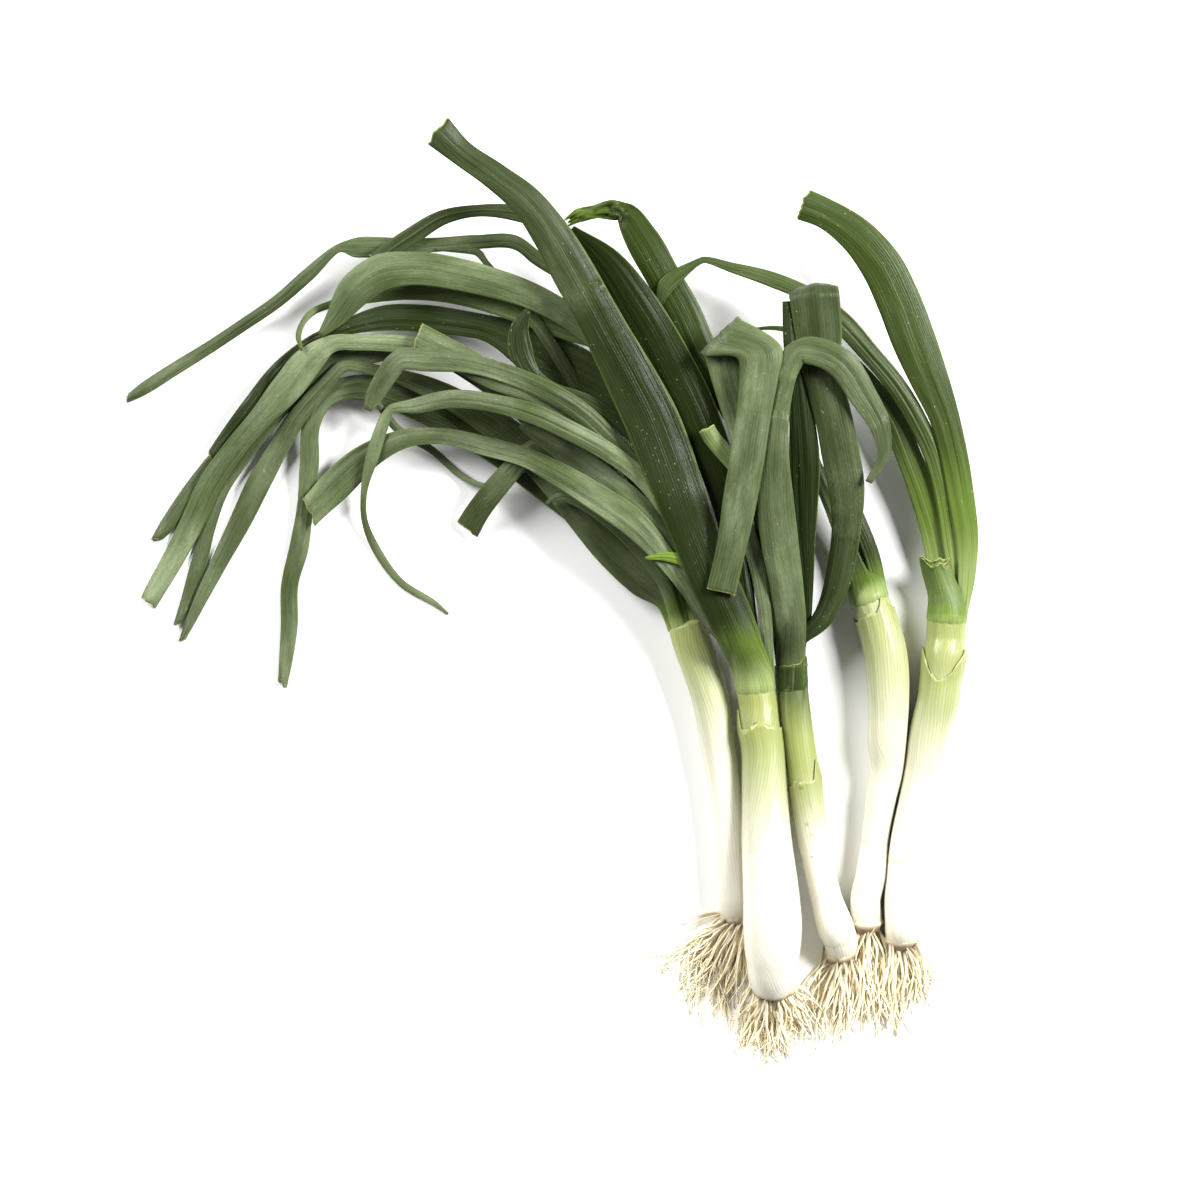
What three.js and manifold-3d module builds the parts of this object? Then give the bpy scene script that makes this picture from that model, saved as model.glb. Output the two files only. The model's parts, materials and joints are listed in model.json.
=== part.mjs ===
// A bunch of five spring onions lying on a flat surface: five white shanks fanned
// side by side, their roots, and the green leaves, most of them bent over to the left.
// Millimetres, +Z up. The origin is under the middle of the bunch, on the surface.
import * as THREE from "three";
import { mergeVertices } from "three/addons/utils/BufferGeometryUtils.js";
import Module from "manifold-3d";

// ---- Driving dimensions -------------------------------------------------------
const BLADE_HALF_THICKNESS = 0.45; // of a leaf at its midrib
const BLADE_HALF_EDGE = 0.32; // of a leaf at its margins
const LEAF_CLEARANCE = 0.25; // left between a leaf and the one that it lies on
const LONGEST_STEP = 17; // between two sections of a leaf
const TURN_PER_STEP = THREE.MathUtils.degToRad(24);
const TIGHTEST_RISE = 35; // radius to which a leaf can bend up or down
const SAG_PASSES = 60;
const CLEARING_PASSES = 40;
const SOCKET_GAP = 0.5; // between the end of a shank and the leaves that leave it
const BASE_STRAIGHT = 7; // the first stretch of a leaf, in line with its shank
const BASE_SHARE = 0.92; // of the neck's radius that the base of a leaf can fill
const ROUTE_DETAIL = 24; // points tried between two points of a leaf's route
const SHORTEST_STEP = 2.5;
const SHORTEST_LAST_STEP = 4;
const NARROWEST = 0.6; // half width at a pointed tip
const FOLD_TURNS = [45, 90, 135]; // sections round a folded edge
const CAMBER = 0.14; // rise of a leaf's midrib over its margins, a share of its half width
const CAMBER_FADE = 60; // length over which a leaf opens from its rolled base
const SHANK_SIDES = 12;
const SHANK_FLAT = THREE.MathUtils.degToRad(18); // half the angle of the flat it rests on
const PLATE_SIDES = 8;
const PLATE_RINGS = [[0.35, 0.92], [2.2, 0.85], [3.8, 0.5]]; // [behind the shank, share of its radius]
const ROOTS_PER_TUFT = 16;
const ROOT_RADIUS = 0.85;
const ROOT_TAPER = 0.45; // share of its radius that a root has lost at its tip
const ROOT_CORNERS = [90, 210, 330]; // degrees round its section
const ROOT_STEPS = [0, 0.3, 0.65, 1]; // shares of its length where it has a section
const SHORTEST_ROOT = 0.55; // a share of the longest
const ROOT_SWAY = 0.05; // sideways, a share of the tuft's width
const ROOT_WAVE = 1.5; // up and down
const ROOT_PILE = 5; // height over the surface of the highest root's tip
const ROOT_SOURCE = 2; // behind the shank, where the roots start inside the plate
const ROOT_SUNK = 0.75; // share of the way back to that place that a root reaches
const ROOT_SEED = 11;

// ---- Shanks: centre line in plan and radius, from the root plate to the neck --
// [x, y, radius], and the height that each end is raised over the surface.
const SHANKS = {
  a: {
    raised: [0, 0],
    line: [
      [79, -133.5, 3.4], [78.5, -130.5, 5], [78, -127, 6], [77, -110, 6.8], [76, -93.5, 7],
      [74, -76.5, 7.2], [71.5, -60, 7.6], [68.5, -43, 8], [65, -30.5, 8.4], [60.5, -18, 8.4],
      [58.5, -12, 8],
    ],
  },
  b: {
    raised: [3.8, 5.6],
    line: [
      [95, -163, 3.8], [94.5, -158.5, 8], [94.5, -152, 10.8], [94.5, -139.5, 12.6],
      [94, -127, 12.2], [93, -114.5, 11.6], [92, -102, 10.8], [91.5, -89, 9.8], [91, -76.5, 9.2],
      [90.5, -64, 8.8], [89, -53.5, 8.8], [88.5, -45, 8.4], [87.5, -39, 8.4],
    ],
  },
  c: {
    raised: [0, 5.4],
    line: [
      [124, -149, 3.4], [123.5, -144.5, 5.8], [121.5, -139.5, 7.4], [117.5, -127, 6.8],
      [113.5, -110, 6.6], [110.5, -93.5, 6.8], [108, -76.5, 7], [105.5, -60, 7],
      [103.5, -43, 6.8], [102.5, -29.5, 6.4],
    ],
  },
  d: {
    raised: [0, 0],
    line: [
      [134, -136.5, 3.4], [134, -132, 5], [134, -127, 6], [136, -118.5, 6.6], [138, -102, 6],
      [140.5, -85, 6.6], [143, -72.5, 7.2], [143, -60, 8.4], [143.5, -43, 8.8], [142, -22, 8.8],
      [138.5, -9.5, 8.4], [135.5, -1, 8.4],
    ],
  },
  e: {
    raised: [0, 0],
    line: [
      [149.5, -144, 3.4], [149.5, -139.5, 5.8], [149, -127, 7.2], [150, -118.5, 7.6],
      [152, -102, 7.8], [155.5, -85, 7.8], [158, -72.5, 7.8], [160, -60, 8], [162, -51.5, 8.2],
      [164.5, -43, 8.6], [165.5, -34.5, 8.6], [167, -24, 9], [167.5, -18, 8.4], [168, -9.5, 8.6],
    ],
  },
};

// ---- Leaves, in the order in which they lie on each other, the lowest first ---
// onion: the shank that the leaf grows from. heights: at least how high its middle
// stands, at equal steps from its base to its end. roll: how far its base is rolled
// round the neck, a share of its half width. route: [x, y, half width] in plan. fold:
// where the leaf turns over a crease and lies back over everything else: heights as
// before, and margins, [left, right] in plan, from the crease to its end.
const LEAVES = [
  {
    onion: "a",
    heights: [2, 4, 6, 8, 9, 5, 1, 0.7],
    roll: -0.25,
    route: [
      [50.5, 3, 5.8], [30.5, 24, 7.2], [5, 45, 8.4], [-20, 64, 8.4], [-41, 76.5, 8.4],
      [-58, 83, 6.8], [-70.5, 87, 5.8], [-83, 88.5, 5], [-93.5, 84, 4.2], [-99, 74.5, 3.8],
      [-100.5, 66, 3.4], [-100.5, 53.5, 4.2], [-102, 41, 3.4], [-104, 24, 4.2], [-107.5, 16, 3.8],
      [-109, 3, 3.6], [-109, -9.5, 3.6], [-110, -22, 3.2], [-112, -36.5, 2],
    ],
  },
  {
    onion: "a",
    heights: [4, 3, 2, 1, 1],
    roll: 0,
    route: [
      [50.5, 3, 2], [30.5, 28.5, 2], [11.5, 45, 1.6], [-5, 54.5, 1.6], [-16.5, 52, 1.4],
      [-25.5, 47, 1.2], [-41, 54.5, 1.6], [-48.5, 62, 1.6], [-58, 66, 2], [-66, 74.5, 1.6],
      [-72.5, 83, 1.2],
    ],
  },
  {
    onion: "a",
    heights: [5, 8, 12, 14, 12, 5, 0.8, 0.7],
    roll: 0.1,
    route: [
      [50.5, 5, 3.4], [26, 41, 3.4], [-3, 70.5, 3.4], [-28.5, 91.5, 3.4], [-53.5, 104, 3.4],
      [-74.5, 101.5, 3.4], [-91.5, 99, 3.4], [-104, 88, 3.8], [-114.5, 78, 3.8], [-124, 66, 3.8],
      [-132.5, 53.5, 3.4], [-139.5, 41, 2.6], [-143, 30.5, 3], [-146, 18, 3.4],
      [-149.5, 7.5, 3.4], [-152.5, -2, 2.6], [-156.5, -11.5, 1.4],
    ],
  },
  {
    onion: "a",
    heights: [6.5, 9, 12, 13, 12, 5, 0.8, 0.7],
    roll: 0.1,
    route: [
      [52.5, -1, 7.6], [34.5, 13.5, 8.4], [13.5, 37, 7.6], [-3, 57, 7.2], [-22, 72.5, 6.4],
      [-41, 84, 5], [-58, 91.5, 3.8], [-68, 94.5, 2.6], [-79, 97, 2], [-86, 97, 2.6],
      [-91.5, 92, 3], [-96.5, 86, 3.4], [-102, 81, 3.8], [-108, 71, 3.8], [-115.5, 60, 4.6],
      [-123, 46, 5], [-129, 33.5, 4.6], [-136.5, 19, 3.8], [-143, 6, 3], [-148.5, -5, 2.6],
      [-154.5, -18.5, 1.2],
    ],
  },
  {
    onion: "a",
    heights: [8, 10, 16, 18, 14, 5, 1, 0.7],
    roll: 0.1,
    route: [
      [52.5, 5, 3], [32.5, 41, 3], [5, 70.5, 3], [-28.5, 93.5, 3], [-62, 106, 3], [-81, 107, 2.6],
      [-91.5, 103, 2.6], [-108, 89, 3], [-123, 74.5, 3], [-135.5, 65.5, 2.6], [-144, 54.5, 2.6],
      [-151, 44.5, 3.4], [-157.5, 34.5, 3.8], [-165, 24.5, 2],
    ],
  },
  {
    onion: "b",
    heights: [7.5, 14, 19, 20, 15, 6, 1, 0.7],
    roll: -0.2,
    route: [
      [76, -18, 3], [67.5, 16, 3.4], [60, 49.5, 3.4], [39, 83, 4.2], [13.5, 100, 5],
      [-11.5, 110, 5.4], [-37, 115.5, 5.4], [-62, 118, 5.8], [-79, 115.5, 4.2],
      [-91.5, 110.5, 2.6], [-104, 105.5, 2], [-110, 100, 3], [-117.5, 91.5, 3], [-124, 83, 3],
      [-130, 75.5, 2.8], [-136, 67.5, 2.6], [-142.5, 59.5, 1.8],
    ],
  },
  {
    onion: "a",
    heights: [9.5, 14, 19, 22, 19, 9, 2, 0.7],
    roll: 0.15,
    route: [
      [55.5, 5, 4.2], [39, 32.5, 4.2], [18, 60, 4.2], [-7.5, 83, 4.2], [-32.5, 99, 4.2],
      [-58, 106, 3.8], [-68, 106, 3.8], [-79, 107, 3.4], [-89, 107, 3.4], [-96.5, 103, 5.4],
      [-104, 94.5, 6.4], [-112.5, 85, 6.4], [-120, 76.5, 5], [-126, 69.5, 4.2], [-132.5, 62, 4.6],
      [-139.5, 52.5, 5], [-146, 41, 5], [-151, 29.5, 5], [-156.5, 19, 4.6], [-163, 8, 4.4],
      [-168.5, -2, 3.8],
    ],
  },
  {
    onion: "c",
    heights: [7, 16, 22, 24, 20, 10, 1],
    roll: -0.2,
    route: [
      [97, -13.5, 2.6], [90, 16, 3], [73.5, 49.5, 3.4], [55.5, 79, 3.4], [34.5, 100, 3.4],
      [18, 109, 3.8], [5, 112.5, 3.8], [-20, 121.5, 3.4], [-41, 127, 3.4], [-62, 128.5, 3.4],
      [-79, 126, 2.6], [-89, 123.5, 1.6], [-96.5, 121.5, 1.6], [-102, 116.5, 1.2],
      [-104.5, 110, 1.2], [-103, 103.5, 0.6],
    ],
  },
  {
    onion: "c",
    heights: [8.2, 18, 22, 24, 22, 14, 4, 0.7],
    roll: 0.1,
    route: [
      [103.5, -13.5, 2], [91.5, 11.5, 2.6], [79, 41, 3], [64, 70.5, 3], [45, 97.5, 3],
      [26, 121, 3], [9.5, 133.5, 3], [-3, 141, 3], [-11.5, 148, 3], [-28.5, 149, 3],
      [-45, 148, 3], [-62, 147.5, 3.4], [-71, 147, 5], [-79.5, 147, 4.6], [-87, 147, 2],
      [-93.5, 142, 2], [-100, 136.5, 2.8], [-108, 129, 2.8], [-118.5, 121.5, 2.6],
      [-129, 114.5, 2.6], [-139.5, 107.5, 2.6], [-150, 101, 2.6], [-160.5, 94.5, 2.8],
      [-169, 89, 2.8], [-177.5, 84, 1.6],
    ],
  },
  {
    onion: "a",
    heights: [11, 14, 18, 22, 20],
    roll: 0.2,
    route: [
      [53.5, 11.5, 2.6], [39, 45, 2.6], [18, 79, 2.6], [-3, 112.5, 2.6], [-16, 128.5, 2],
      [-24, 138, 1.2], [-30, 145, 1.6], [-37, 144.5, 1.2], [-47, 146, 0.6],
    ],
  },
  {
    onion: "c",
    heights: [9.4, 20, 24, 26, 24, 20],
    roll: 0.1,
    route: [
      [97, -13.5, 2.6], [92.5, 11.5, 3.4], [80, 41, 3.4], [65.5, 70.5, 3.4], [47, 99, 3.4],
      [31.5, 123, 3.4], [16, 144, 3.4], [3, 155, 3.4], [-13.5, 161, 3.4], [-28.5, 162, 2.6],
      [-39, 161, 2.6], [-47, 157.5, 3.8], [-55.5, 152.5, 3.8], [-63, 147, 3.8], [-72.5, 141, 3.4],
    ],
  },
  {
    onion: "b",
    heights: [8.7, 22, 27, 29, 26, 12],
    roll: 0.1,
    route: [
      [83, -18, 3], [72.5, 11.5, 3.4], [59, 41, 4.2], [45, 70.5, 4.2], [28.5, 100, 4.6],
      [10.5, 116.5, 5], [-1, 123.5, 5.4], [-13.5, 128.5, 5.8], [-26, 132.5, 6.4],
      [-39, 135.5, 6.8], [-51.5, 137.5, 6.8], [-64, 137.5, 7.6], [-74.5, 134, 7.6],
      [-83, 126, 6.8], [-89, 117.5, 4.2], [-95.5, 110, 1.2],
    ],
  },
  {
    onion: "b",
    heights: [9.9, 22, 25, 30, 34],
    roll: 0.1,
    route: [
      [76, -18, 2.6], [66.5, 7.5, 2.6], [60, 32.5, 2.6], [39, 64, 2.6], [18, 81, 3], [3, 86.5, 3],
      [-5, 92, 3], [-8, 97.5, 4.2], [-11.5, 105, 5], [-11.5, 112.5, 3.8], [-8, 120, 1.2],
    ],
  },
  {
    onion: "b",
    heights: [11, 20, 24, 27, 24],
    roll: 0.1,
    route: [
      [83, -18, 3], [71.5, 9.5, 3], [48, 41, 3.4], [26, 64, 3.8], [9.5, 76.5, 4.2],
      [-7.5, 86, 4.2], [-18, 90, 5], [-30.5, 96.5, 5.4], [-43, 104, 5.8], [-54.5, 109.5, 5.8],
    ],
  },
  {
    onion: "a",
    heights: [12, 14, 14, 8, 1],
    roll: 0.25,
    route: [
      [49.5, 7.5, 3.8], [32.5, 32.5, 3.8], [13.5, 50, 3.8], [1, 61, 3.8], [-5, 63, 3.8],
      [-13.5, 54.5, 3.8], [-21, 47, 5], [-28.5, 37.5, 5], [-34, 28.5, 5.4],
    ],
  },
  {
    onion: "a",
    heights: [13, 11, 7, 2],
    roll: 0.3,
    route: [
      [49.5, 5, 2.6], [34.5, 24, 2.6], [18, 37.5, 2.6], [6, 42.5, 2], [-0.5, 39.5, 0.6],
    ],
  },
  {
    onion: "b",
    heights: [12.2, 18, 20, 14, 8],
    roll: 0.15,
    route: [
      [76, -18, 3], [65, 5, 3.4], [47, 29, 4.2], [37, 39, 5], [24, 49.5, 5.4], [11.5, 58.5, 5],
      [-1, 66, 3.4], [-11.5, 72.5, 1.2],
    ],
  },
  {
    onion: "b",
    heights: [13.4, 18, 20, 18, 14, 6, 2],
    roll: 0.15,
    route: [
      [79, -22, 3.4], [66, -7.5, 3.4], [55.5, 8, 3.4], [39, 28.5, 5.8], [22, 41, 5.8],
      [5, 51.5, 5], [-7.5, 58, 4.2], [-20, 62, 4.2], [-32.5, 65, 3.8], [-45, 68, 3.4],
      [-53.5, 68, 3.4], [-64, 65.5, 4.6], [-73.5, 61, 5.4], [-83, 52.5, 6.8], [-91.5, 46, 6.8],
      [-100.5, 36, 5.8],
    ],
  },
  {
    onion: "b",
    heights: [14.6, 22, 27, 29, 27, 24, 16],
    roll: 0.15,
    route: [
      [83.5, -18, 3], [73.5, 3, 3.4], [55.5, 32.5, 3.8], [34.5, 57, 4.2], [22, 70.5, 4.2],
      [11.5, 79.5, 4.2], [-1, 86.5, 4.2], [-13.5, 92, 4], [-28.5, 97, 4], [-45, 99, 4.6],
      [-55.5, 99.5, 5], [-61.5, 99.5, 4.6], [-68, 92, 4.2], [-72.5, 85, 3.8], [-75.5, 78.5, 1.6],
    ],
  },
  {
    onion: "b",
    heights: [15.8, 24, 28, 28, 24, 16, 6, 1, 0.7],
    roll: 0.2,
    route: [
      [84, -18, 3], [75.5, -1, 3.4], [59, 24, 3.8], [41, 48.5, 3.8], [30.5, 57, 3.8],
      [18, 65.5, 4.2], [5, 71.5, 4.2], [-7.5, 77, 4.2], [-20, 80.5, 3.8], [-30.5, 82.5, 3.8],
      [-41, 83, 3.8], [-49.5, 82, 3.4], [-58, 80, 3], [-66, 79, 2], [-69.5, 70.5, 3],
      [-73.5, 60, 2.8], [-76, 49.5, 1.8], [-78, 39.5, 1.2], [-76, 28.5, 1.6], [-71, 18, 1.8],
      [-64, 8, 1.6], [-55.5, 2.5, 1.6], [-47, -3, 1.2], [-42, -7, 0.6],
    ],
  },
  {
    onion: "b",
    heights: [17, 22, 24, 22],
    roll: 0.2,
    route: [
      [76.5, -18, 2], [70.5, 1, 2], [62, 12.5, 2.6], [55.5, 16, 2.6], [50.5, 17, 2],
      [41, 16.5, 0.6],
    ],
  },
  {
    onion: "c",
    heights: [10.6, 14, 18, 20, 20, 16],
    roll: 0.1,
    route: [
      [103, -13.5, 3], [95.5, 16, 3.8], [89, 49.5, 5], [79, 79, 6.4], [66, 100, 7.2],
      [61, 110, 7.6], [55, 123, 7.6], [48, 135.5, 7.2], [42, 146, 7.2], [37, 155, 6.8],
      [31.5, 162, 4.6], [25.5, 162, 3.4], [20, 161.5, 3.4], [13.5, 160.5, 2.6], [8.5, 157.5, 1.2],
    ],
  },
  {
    onion: "e",
    heights: [5, 9, 12, 14, 14, 12],
    roll: -0.2,
    route: [
      [166.5, 3, 4.6], [164, 22, 5], [159, 41, 5.8], [152.5, 58, 5.4], [148, 69.5, 5.4],
      [141.5, 81.5, 4.6], [134.5, 91.5, 3.4], [128, 99, 2.6], [121, 104, 2], [111, 109, 1.6],
      [100, 113, 1.2], [88, 113, 0.6],
    ],
  },
  {
    onion: "e",
    heights: [8, 12, 17, 20, 22, 22, 20],
    roll: 0.1,
    route: [
      [172.5, -1, 1.6], [171.5, 16, 2], [168.5, 32.5, 2.6], [166.5, 45, 3], [163.5, 55.5, 3.4],
      [159.5, 66, 3.8], [154, 76.5, 4.2], [148, 86.5, 4.2], [142, 94.5, 4.2], [134.5, 103, 4.2],
      [127, 111.5, 4.6], [119.5, 119, 4.2], [109.5, 126.5, 3.4], [97.5, 132, 3.4], [85, 136, 2.8],
      [74.5, 139, 2], [65.5, 141.5, 1.4], [60, 138.5, 1.8], [53.5, 133.5, 2.8], [48, 128, 3.2],
      [47, 123, 1.6],
    ],
  },
  {
    onion: "b",
    heights: [18.2, 24, 30, 30, 26, 22],
    roll: 0.15,
    route: [
      [86, -22, 3.4], [81, 7.5, 5], [76.5, 37, 6.8], [68.5, 62, 8], [64, 74.5, 8.4],
      [55.5, 91.5, 8.8], [47, 108, 8.4], [37, 124, 8], [27, 138.5, 6.4], [18, 148, 3.4],
      [10.5, 154.5, 1.2],
    ],
  },
  {
    onion: "b",
    heights: [17, 20, 24],
    roll: 0.2,
    route: [
      [93, -28.5, 1.6], [92, -13.5, 2.6], [89.5, 3, 3], [86.5, 18, 3.4], [83, 28.5, 3.4],
      [79, 41, 2.6],
    ],
  },
  {
    onion: "b",
    heights: [19, 27, 33, 36, 38, 42, 46],
    roll: 0.3,
    route: [
      [83.5, -26, 8.4], [77.5, -10.5, 9.2], [71.5, 2.5, 10], [60.5, 28.5, 9.6],
      [51.5, 53.5, 11.4], [42, 77.5, 11.4], [31.5, 97.5, 10.2], [21.5, 116.5, 9], [12, 133.5, 9],
      [4, 147.5, 8.2], [-5, 161, 7.2], [-18.5, 173, 6], [-29, 180, 5.6], [-37.5, 186.5, 5.6],
      [-45.5, 194, 7],
    ],
  },
  {
    onion: "c",
    heights: [11.6, 26, 37, 38],
    roll: 0.2,
    route: [
      [103, -13.5, 2], [99.5, 11.5, 2.6], [90, 39, 3.4], [77.5, 56.5, 3.8], [71, 63, 3.8],
      [66.5, 70.5, 3.4],
    ],
  },
  {
    onion: "d",
    heights: [8, 11, 12, 12],
    roll: 0.2,
    route: [
      [131, 13.5, 5], [125, 28.5, 4.2], [118, 43, 3.4], [112.5, 55.5, 3], [106, 74.5, 2.6],
      [104, 85, 2],
    ],
  },
  {
    onion: "d",
    heights: [11, 13, 13, 10],
    roll: 0.2,
    route: [
      [137.5, 14, 2.2], [133.5, 26, 2.6], [127, 41, 2.6], [121, 58, 2.6], [116.5, 74.5, 2],
    ],
  },
  {
    onion: "c",
    heights: [11, 20, 30, 34, 36],
    roll: 0.2,
    route: [
      [109, -12, 1.6], [109.5, 2, 2], [108.5, 18, 3.4], [108, 34.5, 5], [107.5, 58, 6.4],
      [106, 79, 5], [104, 95.5, 3.8], [100.5, 112.5, 2.6], [100, 123.5, 2],
    ],
  },
  {
    onion: "c",
    heights: [12, 20, 30, 34, 38],
    roll: 0.2,
    route: [
      [111, -16, 3.6], [116, -8, 4.4], [120.5, 2, 5.2], [123.5, 16.5, 5.8], [124.5, 24, 5.8],
      [126, 32.5, 7.2], [126, 39, 7.4], [124, 49.5, 7.6], [122.5, 60, 8], [121, 70.5, 8],
      [116.5, 85, 7.6], [113.5, 100, 8.4], [113, 112.5, 10], [111.5, 125, 10.4],
    ],
  },
  {
    onion: "e",
    heights: [10, 14, 18, 22, 24, 26],
    roll: 0.25,
    route: [
      [175, -2, 1.6], [176.5, 11.5, 2], [176, 28.5, 3], [174, 41, 3.8], [171, 58, 5],
      [168, 70.5, 5.8], [164, 83, 7.2], [158.5, 95.5, 8.4], [153.5, 108, 9.2], [148.5, 121, 9.2],
      [143, 133.5, 9.2], [136.5, 144, 8.4], [129, 152, 7.6], [121, 158.5, 6.8], [111, 163, 6.4],
      [107, 164.5, 6.8],
    ],
  },
  {
    onion: "e",
    heights: [12, 15],
    roll: 0.4,
    route: [
      [165.5, -3, 6.4], [164, 5, 6.4], [163, 13, 6.4],
    ],
  },
  {
    onion: "c",
    heights: [12.8, 24, 32, 36],
    roll: 0.2,
    route: [
      [100, -9.5, 3.8], [95.5, 16, 4.2], [89.5, 42, 5], [84, 64, 6.4], [78, 84, 7.2],
      [75.5, 93, 7.4],
    ],
    fold: {
      heights: [41, 44, 44, 43, 40, 36],
      margins: [
        [[65.5, 100.5], [81, 115.5]], [[79.5, 99], [98, 103]], [[80, 90.5], [96, 90.5]],
        [[78.5, 74.5], [93, 74.5]], [[76, 58], [90.5, 58]], [[73.5, 43], [88, 43]],
        [[71, 24], [84, 24]], [[66.5, 3], [78.5, 1.5]],
      ],
    },
  },
  {
    onion: "c",
    heights: [14, 26, 36, 42, 44, 38, 34],
    roll: 0.3,
    route: [
      [102, -9.5, 6.4], [99, 11.5, 7.2], [95.5, 34.5, 8], [95, 58, 5.8], [97, 79, 4.2],
      [100.5, 93.5, 3.8], [104, 102, 5], [112.5, 102, 5.8], [120, 99, 6.4], [127, 91.5, 5.4],
      [134.5, 79, 5.8], [139, 70.5, 4.2], [140.5, 64, 3.4], [140, 58, 2.4], [136.5, 53.5, 1.8],
      [134, 48, 1.4],
    ],
  },
];

// ---- Roots: where each tuft spreads in plan -----------------------------------
// near: the two ends of the row where the roots leave the plate; far: where the
// outermost roots would end.
const TUFTS = {
  a: { near: [[74, -134.5], [81.5, -136.5]], far: [[40, -153], [76, -187]] },
  b: { near: [[90, -166], [100.5, -166]], far: [[80, -196], [104.5, -199]] },
  c: { near: [[120.5, -151], [127.5, -150]], far: [[108.5, -187], [128, -190]] },
  d: { near: [[132, -140], [138, -140]], far: [[130.5, -185], [141, -187]] },
  e: { near: [[146, -146], [152.5, -145]], far: [[144, -188], [158, -165]] },
};

const GREENS = [0x5f7f4a, 0x4f7040, 0x6b8a55, 0x587a45];
const WHITE = 0xf1f2df;
const CREAM = 0xe6d7b4;

const wasm = await Module();
wasm.setup();

const lerp = THREE.MathUtils.lerp;
const clamp = THREE.MathUtils.clamp;

// A repeatable random number from 0 to 1.
function makeRandom(seed) {
  let state = seed;
  return () => {
    state = (state * 1664525 + 1013904223) % 4294967296;
    return state / 4294967296;
  };
}

// The value at `share` of the way along a list of evenly spaced numbers.
function along(list, share) {
  const at = clamp(share, 0, 1) * (list.length - 1);
  const i = Math.min(Math.floor(at), list.length - 2);
  return lerp(list[i], list[i + 1], at - i);
}

// A closed skin through rings of as many points each, with a point in the middle of
// either end. `mirrored(side)` says which way that side's four-cornered patches are cut.
function skin(rings, firstEnd, lastEnd, mirrored) {
  const sides = rings[0].length;
  const points = rings.flat().concat([firstEnd, lastEnd]);
  const first = points.length - 2;
  const last = points.length - 1;
  const index = [];
  for (let r = 0; r + 1 < rings.length; r++) {
    for (let s = 0; s < sides; s++) {
      const a = r * sides + s;
      const b = r * sides + ((s + 1) % sides);
      const c = a + sides;
      const d = b + sides;
      if (mirrored(s)) index.push(a, b, c, b, d, c);
      else index.push(a, b, d, a, d, c);
    }
  }
  const top = (rings.length - 1) * sides;
  for (let s = 0; s < sides; s++) {
    const next = (s + 1) % sides;
    index.push(first, next, s);
    index.push(last, top + s, top + next);
  }
  const geometry = new THREE.BufferGeometry().setFromPoints(points);
  geometry.setIndex(index);
  return geometry;
}

// ---- Shanks -------------------------------------------------------------------
// The angles of a section's corners, with a flat underneath.
function shankAngles() {
  const rest = 2 * (Math.PI - SHANK_FLAT) / (SHANK_SIDES - 1);
  const start = -Math.PI / 2 + SHANK_FLAT;
  return Array.from({ length: SHANK_SIDES }, (_, i) => start + rest * i);
}

// Sections of a shank: middle, direction across it, and radius.
function shankSections({ line, raised }) {
  return line.map(([x, y, radius], i) => {
    const before = line[Math.max(i - 1, 0)];
    const after = line[Math.min(i + 1, line.length - 1)];
    const ahead = new THREE.Vector2(after[0] - before[0], after[1] - before[1]).normalize();
    const height = lerp(raised[0], raised[1], i / (line.length - 1));
    const middle = new THREE.Vector3(x, y, height + radius * Math.cos(SHANK_FLAT));
    return { middle, ahead, radius };
  });
}

function shankGeometry(sections) {
  const rings = sections.map(({ middle, ahead, radius }) => {
    const across = new THREE.Vector3(-ahead.y, ahead.x, 0);
    return shankAngles().map((angle) =>
      middle.clone()
        .addScaledVector(across, Math.cos(angle) * radius)
        .setZ(middle.z + Math.sin(angle) * radius));
  });
  const ends = [sections[0].middle, sections.at(-1).middle];
  return skin(rings, ends[0], ends[1], () => false);
}

// ---- Leaves -------------------------------------------------------------------
// A leaf's own route, led out of the neck that it grows from.
function fullRoute(leaf, neck) {
  const { middle, ahead, radius } = neck;
  const first = leaf.route[0];
  const offset = (first[0] - middle.x) * -ahead.y + (first[1] - middle.y) * ahead.x;
  const width = Math.min(first[2], radius * BASE_SHARE);
  const shift = clamp(offset, width - radius, radius - width);
  const start = (distance) => [
    middle.x + ahead.x * distance - ahead.y * shift,
    middle.y + ahead.y * distance + ahead.x * shift,
    width,
  ];
  return [start(SOCKET_GAP), start(BASE_STRAIGHT), ...leaf.route];
}

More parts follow.
